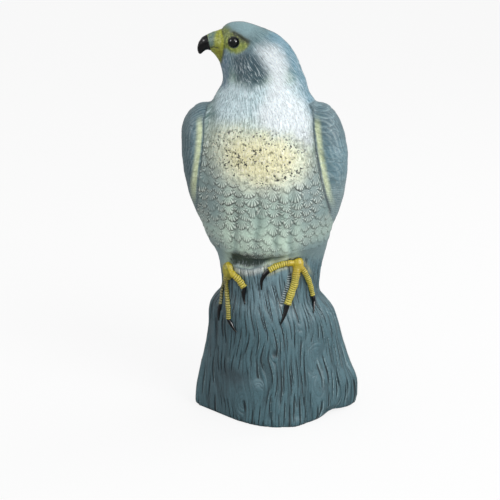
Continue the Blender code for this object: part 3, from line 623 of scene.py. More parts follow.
def barkRelief(at, places):
    # wavy grain, knots and grooves; a vein is kept as about the distance from it in mm
    x, z = at.x, at.z
    sway = noise(places, (38, 38, 60), 3) * 0.015 + noise(places, (14, 14, 26), 4) * 0.005
    slanted = hill(x + 8, 26) * ramp(z, 70, 110) * at.front  # the grain between the feet
    sway = sway + 0.38 * (z - 120) / body["girth"] * slanted
    rings = np.zeros(len(x))
    ringed = np.zeros(len(x))
    for knotX, knotZ, reach, facing in body["knots"]:
        dx, dz = x - knotX, (z - knotZ) * 0.62
        away = np.hypot(dx, dz)
        near = hill(away, reach * 1.5) * at.front
        sway = sway - near * np.sign(dx) * 0.009 * (1 - np.exp(-np.abs(dx) / 5))
        turned = np.cos(np.arctan2(dz, dx) - facing * 2 * math.pi)
        share = ramp(away, reach * 1.05, reach * 0.7) * at.front
        share = share * (0.05 + 0.95 * ramp(turned, -0.4, 0.6)) * ramp(away, 1, 4)
        rings = np.where(share > ringed, away + 2.4 * noise(places, 11, 5), rings)
        ringed = np.maximum(ringed, share)
    at.barkWhere = where = at.theta / (2 * math.pi) + 0.5 + sway
    grain = layer(where * body["girth"], z)
    width, length = body["veinWidth"], body["veinLength"]
    wave = noise(grain, (width, length, 1), 9) + 0.42 * noise(grain, (width / 2, length / 2, 1), 10)
    ringVein = np.sin(rings * math.pi / 3.6) * 1.3
    at.barkVein = wave * width * 0.75 * (1 - ringed) + ringVein * ringed
    at.groove, half = grooves(where, z, body["grooveColumns"], body["grooveLength"],
                              body["grooveWidth"], 11)
    plain = patch(x, z, shapes["plainBark"], 7) * at.front
    at.grooveHalf = half - 1.2 * ringed - plain
    deep = hill(at.groove, 1.0) * ramp(at.grooveHalf, -0.1, 0.45)
    pitX, pitZ = body["pit"]
    pit = hill((x - pitX) / 0.7, 2.6) * hill(z - pitZ, 4.2) * at.front
    patchy = (0.62 + 0.38 * noise(places, (24, 24, 30), 8)) * (1 - 0.55 * plain)
    at.barkPatch = patchy * (0.62 - 0.3 * ringed)
    # the bark's grooves and pit, darkened later as painted shade
    at.barkCrease = np.clip(0.35 * deep + 1.4 * pit, 0, 1)
    hollow = hill(x + 38, 13) * hill(z - 49, 9) - hill(x + 14, 7) * hill(z - 45, 6)
    relief = -0.7 * hill(at.barkVein, 1.0) * patchy * (1 - 0.4 * ringed)
    relief = relief - body["grooveDepth"] * deep + 0.6 * wave * (1 - ringed) - 1.5 * pit
    relief = relief + 1.2 * noise(places, (26, 26, 34), 7) + 0.4 * noise(places, (12, 12, 18), 12)
    return relief - 1.2 * hollow * at.front


def feathersBelow(at, places):
    # the scalloped belly and back
    wander = noise(places, (15, 15, 15), 41)
    across = at.theta / (2 * math.pi) * body["featherColumns"] + 0.25 * wander
    down = -(at.z + 4.5 * noise(places, (15, 15, 24), 42) + 2.0 * wander)
    pitch = body["featherPitch"]
    at.featherVein, above, side, own = rowsOfFeathers(across, down, pitch, 0.66 * pitch, 43)
    at.above = above
    at.fan = np.arctan2(side * 6.0, 1.2 * pitch - above + 0.5) * 27 + 1.5 * own
    lift = np.clip(1 - above / (1.35 * pitch), 0, 1) * ramp(above, -0.2, 1)
    return body["featherLift"] * (1 + 0.25 * own) * (lift * (1 - 0.35 * side**2) - 0.35)


def wingRelief(at, places):
    # small overlapping coverts at the shoulder, long flight feathers below
    z = at.z
    at.spread = spread = at.across * 46
    high = ramp(z, 238, 262)
    wander = noise(places, (22, 22, 22), 51)
    edge, above, side, _ = rowsOfFeathers(spread / 9.5 + 0.3 * wander, -(z + 3 * wander),
                                          6.4, 5.0, 52)
    coverts = 0.42 * (np.clip(1 - above / 10, 0, 1) * ramp(above, -0.2, 0.9) - 0.4)
    blade = spread / 7.4 + 0.15 * noise(places, (30, 30, 60), 53) + 0.012 * (z - 200)
    share = blade - np.floor(blade)
    primaries = 0.6 * (share * ramp(share, 1, 0.88) - 0.45)
    at.wingVein = np.where(high > 0.5, edge, np.minimum(share, 1 - share) * 7.4)
    at.wingPhase = np.where(high > 0.5, side * 14, share * 9 + z * 2.4)
    at.wingPale = hill(above - 0.8, 1.0) * ramp(z, 250, 275)
    return (coverts * high + primaries * (1 - high)) * (2 - at.front)


def hairFlow(at):
    # hair-like feathers: upright on the throat, swept down and back over the cheek
    sweep = 0.74 * np.logaddexp(0, (at.z - 332) / 8) * 8
    slant = sweep * ramp(at.x, -46, -22)
    return at.theta * 52 + slant * ramp(np.abs(at.theta), 2.0, 1.4)


def toeLines(x, z):
    # distance from the nearest toe's middle line, how far along it and which toe it is
    found = np.array([alongLine(x, z, line) for foot in toes.values() for line in foot])
    which = np.argmin(found[:, 0], axis=0)
    away, run = found[which, :, np.arange(len(x))].T
    return away, run, which


def carve(at, places):
    # height of the relief over the smooth skin, in mm; at keeps what the paint follows
    x, y, z, front, bark = at.x, at.y, at.z, at.front, at.bark
    hem, top = lineAt(lines["hem"], x), lineAt(lines["barkTop"], x)
    at.bird = bird = np.clip(1 - bark - at.wing - at.tail, 0, 1)
    at.speckled = speckled = patch(x, z, shapes["cream"], 7) * bird * front
    at.headSide = np.where(front > 0.5, 1, ramp(z, 335, 352))
    smoothHead = ramp(z - 0.62 * np.abs(x + 40), 378, 396) * ramp(z, 372, 380)
    hair = bird * np.where(front > 0.5, ramp(z, 255, 285), ramp(z, 330, 348))
    at.hair = hair * (1 - 0.93 * smoothHead) * (1 - 0.6 * speckled)
    at.flank = bird * front * ramp(np.abs(x + 12), 26, 42) * band(z, 186, 200, 290, 312)
    scallops = bird * (front * ramp(z, 272, 250) * ramp(z - hem, -2, 3)
                       + (1 - front) * band(z, 120, 140, 322, 345))
    at.scallops = np.maximum(scallops, 0.8 * at.flank * (1 - speckled))
    height = (bark * barkRelief(at, places) + at.wing * wingRelief(at, places)
              + at.scallops * feathersBelow(at, places))

    # pits in the cream, the hair, the folds of the belly and the tail's blades
    at.flow = flow = hairFlow(at)
    cell = layer(flow + 0.5 * z, z - 0.3 * flow)
    at.pits = ramp(noise(cell, (2.7, 2.4, 1), 63) + 0.35 * noise(cell, (9, 9, 1), 66), 0.62, 0.8)
    at.pits = at.pits * speckled
    strands = layer(flow, z)
    hairFine = noise(strands, (1.9, 11, 1), 61) + 0.6 * noise(strands, (3.4, 15, 1), 62)
    height = height + speckled * 0.4 * noise(strands, (2.6, 3.6, 1), 64) - at.pits
    height = height + 0.26 * at.hair * hairFine
    at.soft = bird * front * band(z, 182, 196, 240, 262)
    bend = 2 * noise(places, (30, 30, 22), 65)
    at.folds = sum(hill(x - foldX - bend, 3.8) for foldX in body["folds"])
    height = height + (1.2 * ramp(np.abs(x + 9), 44, 34) - 2.4 * at.folds) * at.soft
    blade = (x - at.axis) / 7.5 + 0.5
    at.tailShare = np.abs(blade - np.round(blade)) * 2
    height = height + at.tail * (0.5 - 0.9 * hill(at.tailShare, 0.16))

    # grooves that set the wings off, the hem's shadow gap and the ridge under it
    at.rim = hill(at.outward, 1.5) * band(z, 210, 224, 326, 334) * (1 - bark)
    at.rim = at.rim * np.where(x < 0, 0.55, 1)
    at.under = front * ramp(z - top, -0.5, 2.5) * ramp(z - hem, 0.5, -2.5)
    at.under = at.under * ramp(np.abs(x + 14), 38, 28)
    at.ridge = front * patch(x, z, shapes["stumpTop"], 3.0)
    height = height - 1.4 * at.rim - 1.2 * at.under + 0.7 * at.ridge

    # the ribbed strip beside the middle toe, and low ground under the toes
    at.away = away = toeLines(x, z)[0]
    strip, stripRun = alongLine(x + 6.3, z, toes["left_foot"][1][1:])
    at.stripTurn = stripRun * 2 * math.pi / body["ribPitch"]
    at.ribs = ramp(strip, 2.6, 1.5) * front * ramp(away, 16, 14)
    height = height * (1 - 0.7 * at.ribs) - 0.35 * at.ribs * (1 - np.sin(at.stripTurn))
    at.underToe = ramp(away, 6.5, 4.5) * front
    height = np.where(at.underToe > 0, np.minimum(height, 0.6 * (1 - at.underToe)), height)

    # brow, cere, mouth, nostril and the rim of the eye
    onHead = ramp(z, 366, 372)
    at.brow, cere, mouth = (alongLine(x, z, lines[name])[0] for name in ("brow", "cere", "mouth"))
    aboveBrow = alongLine(x, z - 2.4, lines["brow"])[0]
    at.fromEye, nostril = (np.hypot(x - face[name][0], z - face[name][1])
                           for name in ("eye", "nostril"))
    for apart, width, rise in ((aboveBrow, 2.0, 1.1), (at.brow, 1.3, -1.5), (cere, 1.3, -1.0),
                               (mouth, 0.9, -0.7), (nostril, 1.1, -0.7),
                               (at.fromEye - 6.8, 1.0, 0.55), (at.fromEye - 9.2, 1.5, -0.4)):
        height = height + onHead * rise * hill(apart, width)
    height = height + 0.2 * onHead**2 * ramp(-x, 48.5, 50.5) * noise(places, 2.6, 67)
    # painted shade in the creases of the brow, cere and mouth and in the nostril
    at.lines = onHead * np.maximum.reduce([hill(at.brow, 1.3), 0.8 * hill(cere, 0.9),
                                           hill(mouth, 0.6), 0.7 * hill(nostril, 0.9)])

    # the parting line, and where the shoulder, the head and the stump's foot leave the form
    seam = hill(y, 0.8)
    height = height * (1 - 0.5 * seam) + body["seamRidge"] * seam
    height = height + 2.8 * hill(z - 306, 18) * ramp(-x, 70, 82)
    height = height + 2.4 * hill(z - 30, 15) * ramp(x, 64, 76)
    height = height - ramp(z, 396, 403) * ramp(x, -34, -16)
    height = height + 1.4 * hill(x + 54, 6) * hill(z - 374, 7)
    height = np.maximum(height, -body["deepest"]) * ramp(z, 0.6, 4)
    return height + front * ramp(z, 13, 4) * (2.0 * hill(x - 24, 9) - 3.5 * hill(x - 64, 9))


def paint(mesh):
    # where each colour is laid, painted shade and painted highlights among them, kept on the mesh
    # for the paint's material
    places = points(mesh)
    at = regions(places)
    carve(at, places)
    x, y, z, front, bark, wing = at.x, at.y, at.z, at.front, at.bark, at.wing
    bird, scallops, headSide = at.bird, at.scallops, at.headSide
    fine, broad = noise(places, 3.5, 72), noise(places, 9, 73)
    inside = {name: patch(x + moveX * fine, z + moveZ * fine + moveFar * broad, shapes[name], soft)
              for name, (moveX, moveZ, moveFar, soft) in softness.items()}
    onFace = ramp(z, 366, 374)
    olive = inside["olive"]
    cere = ramp(lineAt(lines["cere"], z, True) - x, -0.4, 1) * onFace
    bare = np.clip(olive + cere, 0, 1)
    notOlive = 1 - 0.8 * olive * onFace
    white = inside["white"] * bird * headSide
    hair = at.hair * (1 - 0.35 * white)
    sideFade = ramp(np.abs(x + 16), 26, 50)
    belly = front * bird * band(z, 176, 190, 352, 372)
    stripe = band(at.outward + 0.5 * noise(places, 14, 71), 0.6, 2.4, 4.4, 9)
    nape = ramp(x - lineAt(lines["nape"], z, True), -3, 10)
    paleFold = 0.75 * hill(x + 43, 5) + 0.6 * hill(x - 24, 5) + 0.95 * ramp(z, 230, 198)
    paleFold = np.clip(paleFold, 0, 1) * front * bird * ramp(z, 256, 236)
    paleFold = paleFold * (1 - 0.8 * np.clip(at.folds, 0, 1)) * (1 - 0.6 * sideFade)
    strength = np.clip(1.1 - ramp(np.abs(x + 4), 26, 56) * np.where(x < -4, 0.1, 0.65), 0.2, 1)
    strength = strength * np.where(front > 0.5, 0.34 + 0.66 * ramp(z, 200, 234), 0.7)
    strength = strength * np.clip(0.62 + 1.25 * noise(places, (13, 13, 9), 74), 0.12, 1.2)
    strength = strength * (1 + 0.7 * ramp(-x, 28, 44) * front * ramp(z, 212, 232))
    phase = np.where(wing > 0.5, at.wingPhase, at.fan)
    vein = np.where(wing > 0.5, at.wingVein, at.featherVein)
    veinDark = np.where(wing > 0.5, (0.5 - 0.36 * front) * wing,
                        0.95 * scallops * strength * (1 - 0.4 * at.flank))
    hatch = scallops * (0.5 + 0.5 * hill(at.above - 1.2, 3.4)) * np.clip(2.0 * strength, 0, 1)
    paleLight = 0.4 + 0.6 * hill(np.hypot((x + 14) / 1.3, z - 356), 32)
    masks = {
        "pale": belly * (1 - 0.9 * sideFade),
        "side": belly * sideFade * (1 - ramp(z, 300, 325) * ramp(x, -54, -42)),
        # darker low on both sides of the waist: painted shade under the belly
        "waist": front * (1 - bark) * ramp(z, 204, 184) * ramp(np.abs(x + 10), 28, 44),
        "paleFold": paleFold,
        # painted shade in the belly's fold valleys
        "foldDark": at.folds * at.soft * belly,
        "breast": inside["breast"] * bird * front,
        "forehead": inside["forehead"] * onFace,
        "neck": front * bird * band(z, 300, 318, 348, 360) * ramp(x, -64, -50),
        "nape": np.where(front > 0.5, nape * ramp(z, 300, 330), 1.0) * bird,
        "cream": inside["cream"] * bird * front * (1 - 0.4 * ramp(-x, 42, 60)),
        "creamHeart": inside["creamHeart"] * bird * front,
        "white": white,
        # a painted shadow along the brow, over the eye
        "brow": hill(at.brow, 3.4) * onFace * (1 - hill(at.fromEye, 4.5)),
        "face": bare * onFace * bird,
        "throat": inside["throat"] * bird,
        "cheek": inside["cheek"] * bird * headSide,
        "crown": ramp(z - 0.55 * np.abs(x + 40), 374, 384) * (1 - bare) * bird,
        "olive": olive * onFace * bird,
        "cere": cere,
        "beakGrey": inside["beakGrey"] * onFace,
        "gold": hill(x + 52.8, 3.6) * hill(z - 381, 4.0) * onFace,
        # painted shade on the left wing's outer side, and darker towards the top of the wings
        "wingDark": wing * front * np.maximum(ramp(-x, 74, 84), 0.8 * ramp(z, 280, 310)),
        "wingLow": wing * front * ramp(z, 268, 236),
        "stripe": wing * front * stripe * band(z, 218, 256, 306, 322),
        # paler paint up between the feet, and a painted highlight on the small boss low on the
        # front
        "barkLight": front * bark * np.clip(hill(x + 6, 26) * ramp(z, 96, 150)
                                            + 0.7 * hill(x + 14, 6) * hill(z - 46, 5), 0, 1),
        # painted shade in the hollow low on the left and down the stump's left side
        "barkDark": front * bark * np.clip(0.6 * hill(x + 60, 26)
                                           + 0.85 * hill(x + 38, 14) * hill(z - 49, 10), 0, 1),
        # painted shade in the gap under the belly's hem
        "under": np.clip(inside["hemShade"] + 0.25 * at.under, 0, 1) * front,
        # the pale on the stump's top ridge is a painted highlight
        "ridge": at.ridge * bark,
        "toeShade": hill(at.away - 5.0, 1.6) * front * ramp(z, 170, 160),
        "toeSpray": hill(at.away - 4.6, 1.7) * front * ramp(z, 150, 166),
        "eyeRing": ramp(at.fromEye, 6.1, 5.7) * onFace,
        "seam": hill(y, 1.0),
        # painted shade in the bark's grooves and pit
        "barkCrease": at.barkCrease * bark,
        "grooveAside": at.groove,
        "grooveHalf": np.where(bark > 0.5, at.grooveHalf, -1.0),
        "wingPale": at.wingPale * wing * np.where(x > 0, 1, 0.3)
        * np.clip(0.6 + noise(places, 14, 75), 0.1, 1),
        "featherEdge": hill(at.above - 1.4, 1.3) * scallops * strength,
        "hair": np.clip(hair + 0.35 * wing + 0.7 * at.ridge, 0, 1) * (1 - cere)
        * (1 - 0.7 * olive * onFace),
        "hairWhite": hair * headSide * (1 - cere) * notOlive * paleLight * ramp(z, 388, 374)
        + 0.5 * at.ridge + 0.5 * at.under * ramp(z, 178, 166),
        "hatch": np.clip(hatch * (0.45 + 0.55 * front) + 0.15 * wing, 0, 1),
        "phase": np.where(at.ribs > 0.2, at.stripTurn, phase),
        "vein": np.where(bark > 0.5, at.barkVein, vein),
        "veinDark": np.where(bark > 0.5, at.barkPatch * bark, veinDark) * (1 - at.underToe),
        # painted shade in the grooves along the wings' inner edges
        "wingRim": at.rim * (1 - 0.45 * ramp(z, 280, 305)),
        "tailLine": hill(at.tailShare, 0.2) * at.tail,
        "back": (1 - front) * (1 - bark),
        "flow": layer(np.where(bark > 0.5, at.barkWhere * body["girth"],
                               np.where(wing > 0.5, at.spread, at.flow)), z),
    }
    for name in ("wing", "tail", "bark", "ribs", "pits", "speckled", "lines"):
        masks[name] = vars(at)[name]
    for name, values in masks.items():
        keep(mesh, name, values)


# moulded polyethylene with matt paint sprayed in soft-edged passes, a faint satin sheen; some
# passes are painted shade and painted highlights, as marked
shellPaint = {
    # size and detail; along the feathers or the grain: width, length, offset, distortion
    "grains": {"cloud": (24, 3), "speck": (1.6, 2), "clump": (12, 1), "dots": (2.3, 1.5),
               "blobs": (3.2, 1), "skinGrain": (2.6, 3), "breaks": (7, 1)},
    "strands": {"strand": (1.4, 6.0, 0.0, 0.8), "fineStrand": (1.0, 4.2, 3.0, 0.5),
                "wideStrand": (4.5, 14, 7.0, 0.0), "fineGrain": (3.6, 30, 11.0, 0.3)},
    "traces": {
        # specks in the cream, in clumps, with pale crumbs and scratches between them
        "small": ("MULTIPLY", ("dots", 0.595, 0.615), ("clump", 0.38, 0.6)),
        "dot": ("MAXIMUM", "small", ("blobs", 0.675, 0.69)),
        "darkDot": ("MULTIPLY", "dot", "speckled"),
        "paleDot": ("MULTIPLY", ("dots", 0.44, 0.36), "speckled"),
        "scratch": ("MULTIPLY", ("fineStrand", 0.42, 0.36), "speckled"),
        # creases and pale crumbs on the bare face
        "faceCrease": ("MULTIPLY", ("skinGrain", 0.43, 0.36), "face"),
        "faceCrumb": ("MULTIPLY", ("skinGrain", 0.56, 0.64), "face"),
        # hair-like feathers, dark between and white along the strands
        "between": ("MAXIMUM", ("strand", 0.45, 0.39), ("fineStrand", 0.42, 0.36, 0, 0.7)),
        "hairGap": ("MULTIPLY", "between", "hair"),
        "hairLight": ("MULTIPLY", ("strand", 0.53, 0.58), "hair"),
        "hairBright": ("MULTIPLY", ("strand", 0.56, 0.61), ("wideStrand", 0.38, 0.5), "hairWhite"),
        # dark lines along the bark's veins and fine grain and under the edges of the feathers,
        # painted shade in these hollows; the feathers' ones broken
        "wave": ("SINE", "phase"),
        "broken": ("MULTIPLY", ("wave", -0.6, 0.5, 0.08, 1), ("breaks", 0.38, 0.56, 0.15, 1)),
        "whole": ("MAXIMUM", "bark", "broken"),
        "veinAway": ("ABSOLUTE", "vein"),
        "veinLine": ("MULTIPLY", ("veinAway", 0.85, 0.25), "veinDark", "whole"),
        "fineVein": ("SUBTRACT", "fineGrain", 0.5),
        "fineAway": ("ABSOLUTE", "fineVein"),
        "fineLine": ("MULTIPLY", ("fineAway", 0.022, 0.008, 0, 0.3), "bark"),
        # grooves darkened as painted shade, with a painted highlight on the lip of one side, then
        # barbs and ribs
        "grooveAway": ("ABSOLUTE", "grooveAside"),
        "grooveEdge": ("SUBTRACT", "grooveAway", "grooveHalf"),
        "groove": ("MULTIPLY", ("grooveEdge", 0.18, -0.22), ("grooveHalf", 0.12, 0.35), "bark"),
        "lip": ("MULTIPLY", ("grooveAside", 0.5, 1), ("grooveAside", 2.2, 1.5),
                ("grooveHalf", 0.1, 0.5), "bark"),
        "tick": ("MULTIPLY", ("wave", 0, 0.8), "hatch"),
        "barb": ("MULTIPLY", ("wave", -0.1, -0.8), "hatch"),
        "ribDark": ("MULTIPLY", ("wave", 0, 0.7), "ribs"),
        "ribPale": ("MULTIPLY", ("wave", 0, -0.8), "ribs"),
        "mottle": ("MULTIPLY", ("speck", 0.3, 0.7, 0.88, 1.12)),
    },
    "ground": ("#84a0aa", "#93aeb5", "cloud"),
    "passes": (
        ("pale", "#b9d5c8", 1.0), ("side", "#839b99", 0.9), ("neck", "#d2e8f0", 0.88),
        # painted shade in the belly's fold valleys
        ("nape", "#80a8ba", 0.92), ("breast", "#d2dfd0", 0.7), ("foldDark", "#6f8682", 0.5),
        # painted shade low on the sides of the waist
        ("paleFold", "#dff8e4", 0.97), ("waist", "#6f8a91", 0.8), ("throat", "#7c97a9", 0.95),
        ("cheek", "#244c5a", 0.93), ("cream", "#f8ffe2", 0.96), ("creamHeart", "#fffaca", 0.95),
        ("white", "#f2fbff", 0.97), ("crown", "#7e9ca2", 0.95), ("back", "#6f8b96", 0.55),
        ("olive", "#88981f", 0.95), ("forehead", "#5c6a30", 0.65), ("cere", "#9aa022", 0.97),
        # a painted shadow under the brow
        ("brow", "#2c3626", 0.72), ("gold", "#7d6a10", 0.4), ("beakGrey", "#628079", 0.95),
        # painted shade on the left wing's outer side, and darker towards the wings' top
        ("wing", "#6d909c", 0.97), ("wingLow", "#9db2b4", 0.6), ("wingDark", "#435c65", 0.75),
        ("stripe", "#dfeabd", 0.88), ("tail", "#566d77", 0.95), ("bark", "#527680", 1.0),
        # a painted highlight on the stump's small boss, with paler paint up between the feet
        # painted shade on the stump's left side and in its hollow
        ("barkDark", "#3c5058", 0.85), ("barkLight", "#88a8b3", 0.7), ("toeShade", "#32434a", 0.5),
        # a painted highlight on the stump's top ridge
        # painted shade under the belly's hem
        ("under", "#0d2a20", 0.96), ("ridge", "#e6eeea", 0.93), ("toeSpray", "#cdd1ae", 0.6),
        ("featherEdge", "#dde8db", 0.4), ("wingPale", "#b0ced6", 0.36),
        # painted shade in the bark's grooves and pit
        # painted shade in the grooves along the wings
        ("tailLine", "#37474f", 0.7), ("barkCrease", "#1b282e", 0.6), ("wingRim", "#36444a", 0.8),
        # painted shade in the head's creases and nostril
        ("lines", "#2b3008", 0.85), ("eyeRing", "#15170f", 0.95), ("pits", "#2b3420", 0.45),
        ("seam", "#7c7a66", 0.45), ("paleDot", "#fffbe2", 0.75), ("scratch", "#8d9370", 0.32),
        ("darkDot", "#141a0c", 0.97), ("faceCrease", "#3a4414", 0.42),
        ("faceCrumb", "#c6cc70", 0.4), ("hairGap", {"Value": 0.5, "Saturation": 1.7}, 0.85),
        ("hairLight", {"Value": 1.3}, 0.85), ("hairBright", "#dceaf0", 0.8),
        # a painted highlight on one lip of each groove, then painted shade in the fine grain lines
        # and in the grooves
        ("lip", "#a4c2c9", 0.5), ("fineLine", "#1e2c31", 0.9), ("groove", "#142228", 0.82),
        # painted shade along the bark's veins and under the feathers' edges
        ("veinLine", "#19262b", 0.9), ("tick", {"Value": 0.28}, 0.9), ("barb", "#f0f8ee", 0.7),
        ("ribDark", "#1e2a30", 0.85), ("ribPale", "#cfdcdf", 0.7)),
    "relief": (("hairLight", 0.55), ("hairGap", -0.45), ("tick", -0.4), ("veinLine", -1.5),
               ("fineLine", -0.8), ("groove", -1.3), ("lip", 0.5), ("speck", 0.05),
               ("darkDot", -0.6), ("faceCrease", -0.35), ("paleDot", 0.25), ("scratch", -0.25)),
    "bump": (0.8, 1.0),
    "surface": {"Roughness": 0.54, "IOR": 1.5},
}

# the bare inside of the moulding: grey polyethylene, smooth and slightly waxy
bareShell = {
    "grains": {"cloud": (12, 4)},
    "ground": ("#5d6a6c", "#748284", "cloud"),
    "relief": (("cloud", 1.0),),
    "bump": (1.0, 0.3),
    "surface": {"Roughness": 0.5},
}


def finished(name, recipe):
    # A material: patterns, traces made of them and of what is kept on the mesh, passes of colour
    # over a clouded ground, and a fine relief of traces. A part of a trace is a number, a name,
    # or a name and the range of it that is spread from 0 to 1, or over the two values after it.
    made, tree = newMaterial(name)
    place = addNode(tree, "TexCoord").outputs["Object"]
    found = {}

    def find(part):
        if isinstance(part, tuple):
            source, *limits = part
            return addNode(tree, "MapRange", dict(enumerate((find(source), *limits))))
        if isinstance(part, str) and part not in found:
            found[part] = addNode(tree, "Attribute", attribute_name=part).outputs["Fac"]
        return found.get(part, part)

    for pattern, (size, detail) in recipe["grains"].items():
        found[pattern] = addNode(tree, "TexNoise", {"Vector": place, "Scale": 1 / (size * mm),
                                                    "Detail": detail})
    for pattern, (across, along, offset, distortion) in recipe.get("strands", {}).items():
        flow = addNode(tree, "Attribute", attribute_name="flow").outputs["Vector"]
        stretched = addNode(tree, "Mapping", {"Vector": flow, "Location": (offset, 0, 0),
                                              "Scale": (1 / across, 1 / along, 1)})
        found[pattern] = addNode(tree, "TexNoise", {"Vector": stretched, "Scale": 1.0,
                                                    "Detail": 1.5, "Distortion": distortion})
    for trace, (operation, first, *others) in recipe.get("traces", {}).items():
        value = find(first)
        for part in others or [1.0]:
            value = addNode(tree, "Math", {0: value, 1: find(part)}, operation=operation)
        found[trace] = value
    dark, light, cloud = recipe["ground"]
    colour = addNode(tree, "Mix", {0: find(cloud), 6: hexColour(dark), 7: hexColour(light)},
                     data_type="RGBA")
    for source, tone, strength in recipe.get("passes", ()):
        share = addNode(tree, "Math", {0: find(source), 1: strength}, operation="MULTIPLY")
        if isinstance(tone, dict):
            over = addNode(tree, "HueSaturation", {"Color": colour, **tone})
        else:
            over = hexColour(tone)
        colour = addNode(tree, "Mix", {0: share, 6: colour, 7: over}, data_type="RGBA")
    if "mottle" in found:
        colour = addNode(tree, "HueSaturation", {"Color": colour, "Value": find("mottle")})
    height = 0.0
    for source, rise in recipe["relief"]:
        height = addNode(tree, "Math", {0: find(source), 1: rise, 2: height},
                         operation="MULTIPLY_ADD")
    strength, distance = recipe["bump"]
    bump = addNode(tree, "Bump", {"Height": height, "Strength": strength,
                                  "Distance": distance * mm})
    shader = addNode(tree, "BsdfPrincipled", {"Base Color": colour, "Normal": bump,
                                              **recipe["surface"]})
    addNode(tree, "OutputMaterial", {"Surface": shader})
    return made


def aheadOfHook():
    # a block that covers all that lies ahead of the hook's flat, and the gap behind it
    x, z = face["hookPlane"]
    bm = bmesh.new()
    bmesh.ops.create_cube(bm, size=60 * mm)
    bmesh.ops.transform(bm, matrix=Matrix.Translation((x * mm, 0, z * mm))
                        @ Matrix.Rotation(-face["hookDip"], 4, "Y")
                        @ Matrix.Translation(((face["hookGap"] - 30) * mm, 0, 0)), verts=bm.verts)
    return newObject("aheadOfHook", bm)


def sideBlock(side):
    # everything before the parting plane (-1) or behind it (1)
    bm = bmesh.new()
    bmesh.ops.create_cube(bm, size=1.0)
    bmesh.ops.translate(bm, verts=bm.verts, vec=(0, side * (0.5 + body["gap"] * mm), 0))
    return newObject("sideBlock", bm)


def rod(start, end, radius, sides=64):
    # a round cutter between two places, in metres; the radius is in mm
    start, end = Vector(start), Vector(end)
    along = end - start
    bm = bmesh.new()
    bmesh.ops.create_cone(bm, cap_ends=True, segments=sides, radius1=radius * mm,
                          radius2=radius * mm, depth=along.length,
                          matrix=Matrix.Translation((start + end) / 2)
                          @ along.to_track_quat("Z", "Y").to_matrix().to_4x4())
    return newObject("rod", bm)


def skinCutters():
    # the hollow, the underside, the bores and pockets of the eyes, the pegs' and the hook's holes
    cutters = [hollowForm(), newObject("recess", flatPlug(-4, 5, 0)),
               rod((0, 0, -0.012), (0, 0, 0.012), body["floorHole"], 96)]
    for foot, (x, z) in body["pegs"].items():
        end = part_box(foot)[1][1]
        cutters.append(rod((x * mm, end - 0.013, z * mm), (x * mm, end + 0.002, z * mm),
                           body["pegHole"]))
    for eye in ("left_eye", "right_eye"):
        x, z, side, top, end = eyeAxis(eye)
        pocketFloor = top - body["eyePocketDepth"] * mm
        cutters.append(rod((x, side * 0.04, z), (x, side * pocketFloor, z), body["eyePocket"]))
        cutters.append(rod((x, side * 0.03, z), (x, side * (end - 0.004), z), body["eyeBore"]))
    x, z = face["hookPlane"]
    into = Vector((math.cos(face["hookDip"]), 0, math.sin(face["hookDip"])))
    start = Vector((x * mm, 0, z * mm))
    cutters.append(rod(start - into * 0.004, start + into * face["hookSocketDepth"] * mm,
                       face["hookSocket"]))
    return cutters


def dress(piece, node, bodyName="decoy"):
    # what every new piece needs: smooth shading, its body, the node it stands for
    piece.data.shade_smooth()
    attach(piece, bodyName)
    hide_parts(node)


def moulding():
    skin = finished("sprayPaintedPolyethylene", shellPaint)
    inside = finished("barePolyethylene", bareShell)
    form = outerForm()
    places = points(form.data)
    places = raised(form.data, carve(regions(places), places))
    low, high = (np.array(corner) / mm for corner in cadBox)
    places = np.clip(places, low, high)
    places[places[:, 2] < 0.5, 2] = 0
    setPoints(form.data, places)
    form.data.materials.append(skin)
    print("relief carved", len(places))

    combine(form, aheadOfHook(), "DIFFERENCE")
    for cutter in skinCutters():
        cutter.data.materials.append(inside)
        combine(form, cutter, "DIFFERENCE")
    back = placed("backSkin", form.data.copy())
    form.name = "frontSkin"
    combine(form, sideBlock(-1), "INTERSECT")
    combine(back, sideBlock(1), "INTERSECT")
    for piece, node, slot in ((form, "front_shell", "shell_front"),
                              (back, "back_shell", "shell_back")):
        paint(piece.data)
        dress(piece, node)
        print(piece.name, sum(len(f.vertices) - 2 for f in piece.data.polygons), "triangles")


moulding()
print("moulding done")


# Feet, talons and the hook of the beak

claws = {
    "footVoxel": 0.55,
    "clawVoxel": 0.34,
    "hookVoxel": 0.5,
    "hookFuller": 0.35,  # the smoothed hook is brought back to its full width
    "ringPitch": 2.2,
    "ringHeight": 0.22,
}

# yellow enamel brushed over moulded scales, with painted shade in the creases between them and a
# painted highlight on their crests
yellowEnamel = {
    "grains": {"blotch": (6, 3), "dust": (1.3, 1)},
    "traces": {
        "turn": ("MULTIPLY", "run", 2 * math.pi / claws["ringPitch"]),
        "wave": ("COSINE", "turn"),
        "line": ("MULTIPLY", ("wave", 0.25, 0.95)),
        "inCrease": ("MULTIPLY", "line", "ringed"),
        "onCrest": ("MULTIPLY", ("wave", 0, -0.9), "ringed"),
        "dusty": ("ADD", "inCrease", "dull"),
        "gritted": ("MULTIPLY", ("dust", 0.5, 0.57), "dusty"),
    },
    "ground": ("#c0b01a", "#ddd150", "blotch"),
    "passes": (("orange", "#c6a61c", 0.75), ("oliveToe", "#74772a", 0.92),
               ("bright", "#e3ca12", 0.6), ("dull", "#6c7056", 0.85),
               # painted shade in the scales' creases, a painted highlight on their crests
               ("inCrease", "#5c5514", 0.6), ("onCrest", "#f6e88e", 0.28),
               ("gritted", "#2c3018", 0.75)),
    "relief": (("line", -0.3), ("dust", 0.15)),
    "bump": (0.7, 1.0),
    "surface": {"Roughness": 0.46},
}

